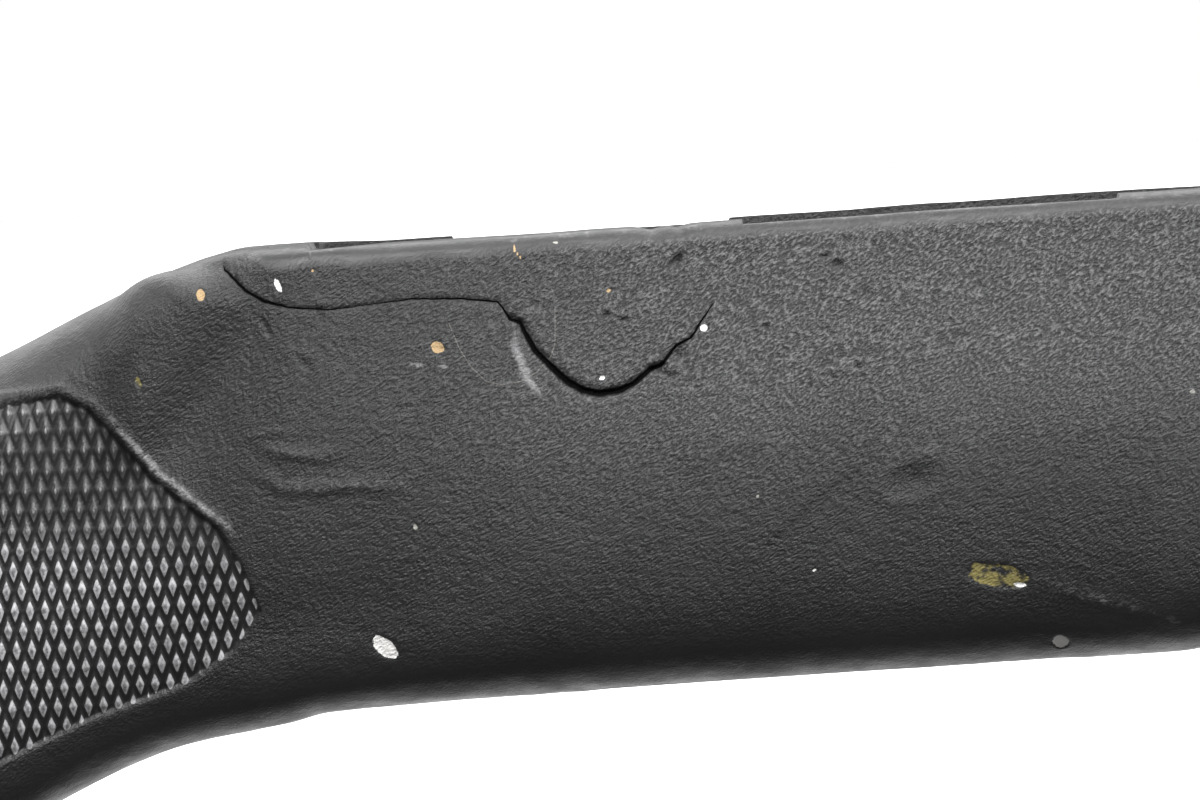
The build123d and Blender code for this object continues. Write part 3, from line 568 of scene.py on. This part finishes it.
def build_half(right_side, n_a, spans):
    side = -1.0 if right_side else 1.0
    base = []
    for a, b, h in spans:
        base += span(a, b, h)
    extra = [SLOT[0] + 1e-3, SLOT[1] - 1e-3, SLOT[0], SLOT[1], WELL[0], WELL[1], WELL[0] + 1e-3, WELL[1] - 1e-3]
    for c, _ in PILLARS:
        extra += [c - 8, c + 8] + [c - 8 + k for k in (0.15, 0.6, 1.4, 2.6)] + [c + 8 - k for k in (0.15, 0.6, 1.4, 2.6)]
    for s0, s1, hw, r in (SLOT, WELL):
        for k in (0.25, 0.8, 1.6, 2.8, 4.0):
            extra += [s0 + k, s1 - k]
    extra += [0.05, 0.3, 0.9, 1.8, 3.0, 4.2]
    cut = (48.5, 91.0, -1.25) if right_side else (15.0, 48.0, -1.15)
    extra += [cut[0], cut[0] + 0.25, cut[1] - 0.25, cut[1]]
    all_s = sorted(set(round(v, 4) for v in base + extra))
    keep = [all_s[0]]
    for v in all_s[1:]:
        if v - keep[-1] > 8e-4:
            keep.append(v)
    cols = []
    for s in keep:
        if s < -122:
            cols.append((s, "cavity"))
        elif s == -122:
            cols += [(s, "cavity"), (s, "solid")]
        elif s < 0:
            cols.append((s, "solid"))
        elif s == 0:
            cols += [(s, "solid"), (s, "inlet")]
        elif s < 186:
            cols.append((s, "inlet"))
        elif s == 186:
            cols += [(s, "inlet"), (s, "channel")]
        else:
            cols.append((s, "channel"))
    loops = []
    for s, kind in cols:
        lid = cut[2] if cut[0] < s < cut[1] else 5.0
        if right_side and -0.5 < s < 10.0:
            lid = min(lid, -0.95 + 0.035 * s)
        loops.append(loop(s, kind, n_a, lid))
    g = np.array(loops)                                   # (columns, points, 2)
    s_col = np.array([c[0] for c in cols])
    skin = N_E + n_a
    p = np.zeros(g.shape[:2] + (3,))
    p[..., 0] = s_col[:, None]
    p[..., 1], p[..., 2] = g[..., 0], g[..., 1]
    t = np.gradient(g[:, :skin], axis=1)
    t /= np.maximum(np.linalg.norm(t, axis=2, keepdims=True), 1e-9)
    nrm = np.stack([-t[..., 1], t[..., 0]], 2)
    flat_p = p[:, :skin].reshape(-1, 3).copy()
    flat_n = nrm.reshape(-1, 2)
    q = flat_p.copy()
    q[:, 1] *= side
    disp, masks = features(q, flat_n, right_side)
    hole = np.array([opening_half(c[0])[0] > 0 and c[1] == "inlet" for c in cols])
    fade = np.ones((len(cols), skin))
    fade[:, -1] *= np.where(hole, 0.3, 1.0)
    disp = disp.reshape(len(cols), skin) * fade
    outer = p[:, :skin].copy()
    outer[..., 1] += disp * nrm[..., 0]
    outer[..., 2] += disp * nrm[..., 1]
    # the walls lean in a little above the middle
    sc = s_col[:, None]
    outer[..., 1] -= (1.3 * np.clip((p[:, :skin, 2] + 27.0) / 25.0, 0, 1.1) ** 1.4 * step(19.5, 22.6, outer[..., 1])
                      * step(-14.0, 16.0, sc) * step(122.0, 104.0, sc))
    solid_end = ~hole
    outer[solid_end, -1, 1] = 0.0
    first_solid = np.array([c[1] in ("solid", "cavity") for c in cols])
    outer[first_solid, 0, 1] = 0.0
    return {"cols": cols, "p": p, "outer": outer, "nrm": nrm, "disp": disp, "masks": {k: v.reshape(len(cols), skin) for k, v in masks.items()},
            "skin": skin, "side": side, "s": s_col}


def grid_faces(n_cols, n_pts, flip):
    i, j = np.meshgrid(np.arange(n_cols - 1), np.arange(n_pts), indexing="ij")
    j2 = (j + 1) % n_pts
    a, b, c, d = i * n_pts + j, (i + 1) * n_pts + j, (i + 1) * n_pts + j2, i * n_pts + j2
    f = np.stack([a, b, c, d], -1).reshape(-1, 4)
    return f[:, ::-1] if flip else f


def cap_faces(points, offset, outward):
    tris = tessellate_polygon([[Vector(v) for v in points]])
    out = []
    for tri in tris:
        a, b, c = (np.array(points[k]) for k in tri)
        nn = np.cross(b - a, c - a)
        tri = tuple(tri) if nn @ np.array(outward) > 0 else tuple(reversed(tri))
        out.append([offset + k for k in tri])
    return out


def shell_object(name, h, material, patch=None):
    p = h["p"].copy()
    outer = h["outer"].copy()
    skin, side = h["skin"], h["side"]
    if patch is not None:
        # the wall is let in where the filler piece sits
        sink = -2.5 * step(0.7, 1.1, patch)
        outer[..., 1] += sink * h["nrm"][..., 0]
        outer[..., 2] += sink * h["nrm"][..., 1]
        outer[..., 1] -= 0.03 * step(-0.2, 0.2, patch) * h["nrm"][..., 0]
        outer[..., 2] -= 0.03 * step(-0.2, 0.2, patch) * h["nrm"][..., 1]
    p[:, :skin] = outer
    drop = outer[:, 0, 2] - h["p"][:, 0, 2]
    k = np.linspace(0, 1, N_D + 1)[1:] ** 3
    p[:, -N_D:, 2] += np.minimum(drop, 0)[:, None] * k[None, :]
    p[..., 1] *= side
    n_cols, n_pts = p.shape[:2]
    verts = row(p.reshape(-1, 3))
    faces = grid_faces(n_cols, n_pts, side < 0)
    caps = cap_faces([tuple(v) for v in p[0]], 0, (-1, 0, 0)) + cap_faces([tuple(v) for v in p[-1]], (n_cols - 1) * n_pts, (1, 0, 0))
    allf = [tuple(f) for f in faces.tolist()] + [tuple(f) for f in caps]
    attrs = {}
    for key, value in h["masks"].items():
        full = np.zeros((n_cols, n_pts))
        full[:, :skin] = value
        attrs[key] = full.ravel()
    return new_object(name, verts, allf, "stock", material, 62, attrs)


def patch_object(name, h, mask, material):
    """The filler piece: the outer skin's own grid inside the outline, closed 2.2 mm behind it."""
    skin, side = h["skin"], h["side"]
    outer = h["outer"]
    inner = outer.copy()
    inner[..., 1] -= 2.2 * h["nrm"][..., 0]
    inner[..., 2] -= 2.2 * h["nrm"][..., 1]
    ok = mask > 0.0
    cells = ok[:-1, :-1] & ok[1:, :-1] & ok[1:, 1:] & ok[:-1, 1:]
    ii, jj = np.nonzero(cells)
    a, b, c, d = ii * skin + jj, (ii + 1) * skin + jj, (ii + 1) * skin + jj + 1, ii * skin + jj + 1
    quads = np.stack([a, b, c, d], 1)
    if side < 0:
        quads = quads[:, ::-1]
    n = outer.shape[0] * skin
    edges = {}
    for q in quads.tolist():
        for k in range(4):
            e = (q[k], q[(k + 1) % 4])
            if (e[1], e[0]) in edges:
                del edges[(e[1], e[0])]
            else:
                edges[e] = 1
    walls = [[e[1], e[0], e[0] + n, e[1] + n] for e in edges]
    back = quads[:, ::-1] + n
    faces = np.concatenate([quads, back, np.array(walls)])
    used, new = np.unique(faces, return_inverse=True)
    pts = np.concatenate([outer.reshape(-1, 3), inner.reshape(-1, 3)])[used]
    pts[:, 1] *= side
    attrs = {k: np.concatenate([v.ravel(), 0 * v.ravel()])[used] for k, v in h["masks"].items()}
    return new_object(name, row(pts), new.reshape(-1, 4), "stock", material, 62, attrs)


# ------------------------------------------------------------------ materials


def material(name):
    mat = bpy.data.materials.new(name)
    mat.use_nodes = True
    nt = mat.node_tree
    nt.nodes.clear()
    out = nt.nodes.new("ShaderNodeOutputMaterial")
    bsdf = nt.nodes.new("ShaderNodeBsdfPrincipled")
    nt.links.new(bsdf.outputs[0], out.inputs[0])
    return mat, nt, bsdf


class Graph:
    def __init__(self, nt):
        self.nt = nt
        self.coord = nt.nodes.new("ShaderNodeTexCoord").outputs["Object"]

    def noise(self, scale, detail=2.0, rough=0.5, stretch=None, distortion=0.0, turned=None):
        n = self.nt.nodes.new("ShaderNodeTexNoise")
        n.inputs["Scale"].default_value = scale
        n.inputs["Detail"].default_value = detail
        n.inputs["Roughness"].default_value = rough
        n.inputs["Distortion"].default_value = distortion
        src = self.coord
        if stretch:
            mp = self.nt.nodes.new("ShaderNodeMapping")
            mp.inputs["Scale"].default_value = stretch[:3]
            if len(stretch) > 3:
                mp.inputs["Rotation"].default_value = stretch[3]
            self.nt.links.new(src, mp.inputs[0])
            src = mp.outputs[0]
        if turned:
            mp = self.nt.nodes.new("ShaderNodeMapping")
            mp.vector_type = "TEXTURE"
            mp.inputs["Scale"].default_value, mp.inputs["Rotation"].default_value = turned
            self.nt.links.new(src, mp.inputs[0])
            src = mp.outputs[0]
        self.nt.links.new(src, n.inputs["Vector"])
        return n.outputs["Fac"]

    def attr(self, name):
        n = self.nt.nodes.new("ShaderNodeAttribute")
        n.attribute_name = name
        return n.outputs["Fac"]

    def ramp(self, src, lo, hi, a=0.0, b=1.0):
        n = self.nt.nodes.new("ShaderNodeMapRange")
        n.interpolation_type = "SMOOTHSTEP"
        for key, v in (("From Min", lo), ("From Max", hi), ("To Min", a), ("To Max", b)):
            n.inputs[key].default_value = v
        self.nt.links.new(src, n.inputs["Value"])
        return n.outputs[0]

    def math(self, op, a, b=None, c=None, clamp=False):
        n = self.nt.nodes.new("ShaderNodeMath")
        n.operation, n.use_clamp = op, clamp
        for k, v in enumerate((a, b, c)):
            if v is None:
                continue
            if isinstance(v, (int, float)):
                n.inputs[k].default_value = v
            else:
                self.nt.links.new(v, n.inputs[k])
        return n.outputs[0]

    def mix(self, fac, a, b):
        n = self.nt.nodes.new("ShaderNodeMix")
        n.data_type = "RGBA"
        for key, v in ((0, fac), (6, a), (7, b)):
            if isinstance(v, (int, float)):
                n.inputs[key].default_value = v
            elif isinstance(v, tuple):
                n.inputs[key].default_value = (*v, 1.0)
            else:
                self.nt.links.new(v, n.inputs[key])
        return n.outputs[2]

    def bump(self, height, distance, strength=1.0, normal=None):
        n = self.nt.nodes.new("ShaderNodeBump")
        n.inputs["Distance"].default_value = distance
        n.inputs["Strength"].default_value = strength
        self.nt.links.new(height, n.inputs["Height"])
        if normal is not None:
            self.nt.links.new(normal, n.inputs["Normal"])
        return n.outputs[0]


def paint_material(name, marks=False):
    mat, nt, bsdf = material(name)
    g = Graph(nt)
    grain = g.noise(2900, 3.0, 0.6, turned=((1.5, 1.0, 0.75), (0.0, math.radians(-38), 0.0)))
    coarse = g.noise(900, 2.0, 0.5)
    cloud = g.noise(45, 3.0, 0.55)
    smooth = g.attr("smooth")
    rough_keep = g.math("SUBTRACT", 1.0, g.math("MULTIPLY", smooth, 0.95))
    height = g.math("ADD", g.math("MULTIPLY", grain, 1.0), g.math("MULTIPLY", coarse, 0.55))
    height = g.math("MULTIPLY", height, rough_keep)
    black = g.mix(g.ramp(cloud, 0.35, 0.7), (0.0105, 0.0105, 0.011), (0.017, 0.017, 0.0175))
    # painted light: the grain's crests are lightened by the upper-side mask, a painted brightening where the light
    # falls
    painted_light_upper = g.attr("painted_light_upper")
    crest = g.math("MULTIPLY", g.ramp(grain, 0.42, 0.72), rough_keep)
    col = g.mix(g.math("MULTIPLY", crest, g.math("MULTIPLY_ADD", painted_light_upper, 0.8, 0.03)), black, (0.15, 0.15, 0.153))
    speck = g.ramp(g.noise(700, 0.0, 0.4), 0.90, 0.91)
    col = g.mix(g.math("MULTIPLY", speck, 0.6), col, (0.45, 0.44, 0.40))
    rough = g.ramp(g.noise(240, 3.0, 0.6), 0.3, 0.7, 0.40, 0.52)
    # this mask lightens the paint: rubbed edges and scuffs, and painted highlights on the fold ridges and the
    # checkering's border
    wear_and_painted_highlight = g.attr("wear_and_painted_highlight")
    ragged = g.noise(1300, 2.0, 0.6)
    w = g.math("MULTIPLY", g.ramp(g.math("ADD", wear_and_painted_highlight, g.math("MULTIPLY", g.math("SUBTRACT", ragged, 0.5), 1.1)), 0.15, 0.8), g.ramp(wear_and_painted_highlight, 0.02, 0.25), clamp=True)
    col = g.mix(g.math("MULTIPLY", w, 0.85), col, (0.20, 0.20, 0.203))
    rough = g.math("SUBTRACT", rough, g.math("MULTIPLY", g.attr("glint"), 0.14))
    # darkens towards black: painted shade in the checkering's grooves, and darker crack lines and dents
    col = g.mix(g.math("MULTIPLY", g.attr("painted_shade_and_dark_marks"), 0.9, clamp=True), col, (0.003, 0.003, 0.003))
    # painted highlights on the checkering: light rims on the diamonds where shine is high, light tips where glint is
    # high
    peak, shine = g.attr("peak"), g.attr("shine")
    uneven = g.ramp(g.noise(1500, 2.0, 0.6), 0.3, 0.62, 0.35, 1.0)
    rim = g.math("MULTIPLY", g.ramp(peak, 0.40, 0.54), g.ramp(peak, 0.70, 0.92, 1.0, 0.45))
    tips = g.math("MULTIPLY", g.ramp(peak, 0.74, 0.96), 0.5)
    lit = g.math("MAXIMUM", g.math("MULTIPLY", rim, shine), g.math("MULTIPLY", tips, g.attr("glint")))
    col = g.mix(g.math("MULTIPLY", lit, uneven, clamp=True), col, (0.40, 0.40, 0.41))
    if marks:
        wob = g.math("MULTIPLY", g.math("SUBTRACT", g.noise(1100, 2.0, 0.55), 0.5), 0.22)
        seam = g.math("ABSOLUTE", g.math("ADD", g.attr("seam_d"), wob))
        wide = g.attr("seam_w")
        lines = g.math("MULTIPLY", g.ramp(g.math("DIVIDE", seam, g.math("MAXIMUM", wide, 0.01)), 1.0, 0.45), g.ramp(wide, 0.02, 0.06))
        hair = g.ramp(g.math("ABSOLUTE", g.attr("hair_d")), 0.075, 0.03)
        col = g.mix(g.math("MULTIPLY", hair, 0.55), col, (0.16, 0.155, 0.14))
        col = g.mix(lines, col, (0.002, 0.002, 0.002))
        height = g.math("SUBTRACT", height, g.math("MULTIPLY", lines, 1.6))
        rough = g.math("MULTIPLY_ADD", lines, 0.4, rough, clamp=True)
        bsdf_spec = g.math("SUBTRACT", 0.5, g.math("MULTIPLY", lines, 0.45))
        nt.links.new(bsdf_spec, bsdf.inputs["Specular IOR Level"])
    normal = g.bump(height, 0.00036, 1.0)
    jag = g.math("MULTIPLY", g.math("SUBTRACT", g.noise(1900, 2.0, 0.6), 0.5), 0.35)
    for key, shade in (("olive", (0.20, 0.17, 0.055)), ("tan", (0.36, 0.25, 0.13)), ("white", (0.80, 0.79, 0.77))):
        f = g.ramp(g.math("ADD", g.attr(key), jag), 0.33, 0.39)
        if key == "olive":
            f = g.math("MULTIPLY", f, g.ramp(g.noise(700, 2.0, 0.6), 0.36, 0.58))
        col = g.mix(f, col, shade)
        rough = g.math("MAXIMUM", rough, g.math("MULTIPLY", f, 0.8))
    nt.links.new(col, bsdf.inputs["Base Color"])
    nt.links.new(rough, bsdf.inputs["Roughness"])
    nt.links.new(normal, bsdf.inputs["Normal"])
    return mat


def metal_material(name, base, rough_lo, rough_hi, metallic=1.0, scratch=0.35):
    mat, nt, bsdf = material(name)
    g = Graph(nt)
    cloud = g.noise(120, 4.0, 0.6)
    fine = g.noise(2600, 2.0, 0.6)
    lines = g.noise(900, 2.0, 0.55, stretch=(1.0, 14.0, 14.0))
    worn = g.ramp(g.math("MULTIPLY", lines, g.ramp(cloud, 0.4, 0.75)), 0.40, 0.55)
    col = g.mix(g.ramp(cloud, 0.3, 0.7), tuple(c * 0.8 for c in base), tuple(c * 1.25 for c in base))
    col = g.mix(g.math("MULTIPLY", worn, scratch), col, (0.42, 0.41, 0.40))
    rust = g.ramp(g.noise(420, 3.0, 0.65), 0.66, 0.74)
    col = g.mix(g.math("MULTIPLY", rust, 0.35), col, (0.10, 0.055, 0.03))
    rough = g.ramp(g.noise(300, 3.0, 0.6), 0.3, 0.7, rough_lo, rough_hi)
    normal = g.bump(g.math("ADD", fine, lines), 0.00003, 0.8)
    bsdf.inputs["Metallic"].default_value = metallic
    nt.links.new(col, bsdf.inputs["Base Color"])
    nt.links.new(rough, bsdf.inputs["Roughness"])
    nt.links.new(normal, bsdf.inputs["Normal"])
    return mat


paint = paint_material("black_paint")
paint_right = paint_material("black_paint_right", True)
steel = metal_material("phosphated_steel", (0.055, 0.055, 0.058), 0.42, 0.6)
screw_steel = metal_material("screw_steel", (0.16, 0.155, 0.15), 0.3, 0.5, scratch=0.6)
alloy = metal_material("turned_alloy", (0.62, 0.62, 0.63), 0.28, 0.42, scratch=0.2)
liner_mat = metal_material("liner_steel", (0.075, 0.075, 0.08), 0.4, 0.58)

foam, nt, bsdf = material("rigid_foam")
g = Graph(nt)
cells = g.noise(1400, 3.0, 0.65)
nt.links.new(g.mix(g.ramp(cells, 0.35, 0.7), (0.50, 0.42, 0.24), (0.72, 0.64, 0.42)), bsdf.inputs["Base Color"])
nt.links.new(g.bump(cells, 0.0004), bsdf.inputs["Normal"])
nt.links.new(g.ramp(cells, 0.3, 0.7, 0.8, 0.95), bsdf.inputs["Roughness"])

tube, nt, bsdf = material("tube_plastic")
g = Graph(nt)
nt.links.new(g.mix(g.ramp(g.noise(200, 3.0), 0.3, 0.7), (0.03, 0.03, 0.03), (0.07, 0.068, 0.062)), bsdf.inputs["Base Color"])
nt.links.new(g.ramp(g.noise(500, 3.0), 0.3, 0.7, 0.45, 0.65), bsdf.inputs["Roughness"])

# ------------------------------------------------------------------ the stock's two halves and the filler piece
coarse_k = 1.0
RIGHT = [(-288, -122, 2.0), (-122, -84, 1.2), (-84, -47, 0.30 * coarse_k), (-47, -6, 0.21 * coarse_k), (-6, 0, 0.3 * coarse_k), (0, 107, 0.3 * coarse_k),
         (107, 125, 0.8), (125, 186, 2.2), (186, 202, 0.8), (202, 470, 2.6)]
LEFT = [(-288, -122, 2.0), (-122, -84, 1.2), (-84, -6, 0.26 * coarse_k), (-6, 0, 0.6), (0, 107, 0.7 * coarse_k), (107, 125, 0.9),
        (125, 186, 2.2), (186, 202, 0.8), (202, 470, 2.6)]
half_r = build_half(True, 300, RIGHT)
half_l = build_half(False, 260, LEFT)
flat_s, flat_z = half_r["p"][:, :half_r["skin"], 0], half_r["p"][:, :half_r["skin"], 2]
near_patch = (flat_s > -14) & (flat_s < 51) & (half_r["nrm"][..., 1] > -0.5) & (flat_z > -24)
patch_mask = np.full(flat_s.shape, -9.0)
patch_mask[near_patch] = inside_dist(flat_s[near_patch], flat_z[near_patch], PATCH)
not_inlet = np.array([c[1] != "inlet" for c in half_r["cols"]])
# over the solid wrist the filler stops short of the middle
patch_mask[not_inlet[:, None] & (half_r["p"][:, :half_r["skin"], 1] < 14.5)] = -9.0
shell_right = shell_object("shell_right_skin", half_r, paint_right, patch_mask)
shell_left = shell_object("shell_left_skin", half_l, paint)
patch = patch_object("side_patch_skin", half_r, patch_mask, paint_right)
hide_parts("shell_right")
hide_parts("shell_left")
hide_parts("side_patch")

# ------------------------------------------------------------------ fittings: eased copies of the CAD pieces
FINISH = {
    "butt_plate": (steel, "plate_steel", 0.35), "shoulder_rest": (steel, "plate_steel", 0.35), "trap_door": (steel, "plate_steel", 0.3),
    "rear_swivel_bracket": (steel, "swivel_steel", 0.3), "front_swivel_bracket": (steel, "swivel_steel", 0.3),
    "rear_swivel_loop": (steel, "swivel_steel", 0.0), "front_swivel_loop": (steel, "swivel_steel", 0.0),
    "forend_ferrule": (steel, "ferrule_steel", 0.25), "inlet_liner": (liner_mat, "liner_steel", 0.15),
    "front_pillar": (alloy, "pillar_metal", 0.25), "rear_pillar": (alloy, "pillar_metal", 0.25),
    "storage_tube": (tube, "tube_plastic", 0.0), "butt_core": (foam, "foam", 0.0),
    "butt_plate_screws": (screw_steel, "screw_steel", 0.12), "ferrule_screws": (screw_steel, "screw_steel", 0.08),
    "liner_screws": (screw_steel, "screw_steel", 0.08), "rear_swivel_screws": (screw_steel, "screw_steel", 0.12),
    "front_swivel_screws": (screw_steel, "screw_steel", 0.12), "shoulder_rest_pin": (screw_steel, "screw_steel", 0.12),
    "trap_door_pin": (screw_steel, "screw_steel", 0.12),
}
for name, (mat, slot_name, ease) in FINISH.items():
    node = NODES[name]
    if ease == 0.0:
        node.data.materials.clear()
        node.data.materials.append(mat)
        continue
    bm = bmesh.new()
    bm.from_mesh(node.data)
    bmesh.ops.remove_doubles(bm, verts=bm.verts, dist=2e-6)
    bmesh.ops.dissolve_limit(bm, angle_limit=math.radians(1.0), verts=bm.verts, edges=bm.edges)
    sharp = [e for e in bm.edges if len(e.link_faces) == 2 and e.calc_face_angle(0) > math.radians(35)]
    mesh = bpy.data.meshes.new(name + "_eased")
    bm.to_mesh(mesh)
    bm.free()
    mesh.polygons.foreach_set("use_smooth", np.ones(len(mesh.polygons), bool))
    mesh.set_sharp_from_angle(angle=math.radians(35))
    mesh.materials.append(mat)
    o = bpy.data.objects.new(name + "_eased", mesh)
    bpy.context.scene.collection.objects.link(o)
    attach(o, node["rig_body"])
    bev = o.modifiers.new("ease", "BEVEL")
    bev.width, bev.segments, bev.limit_method, bev.angle_limit = ease * 0.001, 2, "ANGLE", math.radians(38)
    bev.use_clamp_overlap = True
    bev.harden_normals = True
    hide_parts(name)

# ------------------------------------------------------------------ floor, light
floor_mesh = bpy.data.meshes.new("floor")
zf = float(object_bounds()[0].z) - 0.0005
floor_mesh.from_pydata([(-60, -60, zf), (60, -60, zf), (60, 60, zf), (-60, 60, zf)], [], [(0, 1, 2, 3)])
floor = bpy.data.objects.new("floor", floor_mesh)
bpy.context.scene.collection.objects.link(floor)
fmat, nt, bsdf = material("floor_pale")
bsdf.inputs["Base Color"].default_value = (0.88, 0.88, 0.88, 1)
bsdf.inputs["Roughness"].default_value = 0.9
bsdf.inputs["Specular IOR Level"].default_value = 0.1
floor_mesh.materials.append(fmat)

world = bpy.data.worlds.new("world")
world.use_nodes = True
wnt = world.node_tree
wnt.nodes.clear()
wout = wnt.nodes.new("ShaderNodeOutputWorld")
bg_cam, bg_lit, wmix, lp = (wnt.nodes.new(k) for k in ("ShaderNodeBackground", "ShaderNodeBackground", "ShaderNodeMixShader", "ShaderNodeLightPath"))
bg_cam.inputs[0].default_value, bg_cam.inputs[1].default_value = (1, 1, 1, 1), 1.0
bg_lit.inputs[0].default_value, bg_lit.inputs[1].default_value = (1, 1, 1, 1), 0.15
wnt.links.new(lp.outputs["Is Camera Ray"], wmix.inputs[0])
wnt.links.new(bg_lit.outputs[0], wmix.inputs[1])
wnt.links.new(bg_cam.outputs[0], wmix.inputs[2])
wnt.links.new(wmix.outputs[0], wout.inputs[0])
bpy.context.scene.world = world


def sun(name, azimuth, elevation, strength, angle):
    """A soft light from that direction; azimuth 0 is the camera's side, 90 the muzzle end."""
    a, e = math.radians(azimuth), math.radians(elevation)
    d = Vector((math.sin(a) * math.cos(e), -math.cos(a) * math.cos(e), math.sin(e)))
    data = bpy.data.lights.new(name, "SUN")
    data.energy, data.angle = strength, math.radians(angle)
    o = bpy.data.objects.new(name, data)
    o.rotation_mode = "QUATERNION"
    o.rotation_quaternion = d.to_track_quat("Z", "Y")
    bpy.context.scene.collection.objects.link(o)
    return o


sun("key", 5, 42, 4.3, 40)
sun("key_left", -48, 40, 2.0, 42)
sun("key_right", 52, 38, 3.4, 42)
sun("back", 180, 62, 3.0, 50)
sun("back_left", -145, 24, 1.2, 46)
sun("back_right", 145, 24, 1.2, 46)
sun("under_back", 180, -26, 0.75, 40)
floor.visible_diffuse = floor.visible_glossy = floor.visible_shadow = False
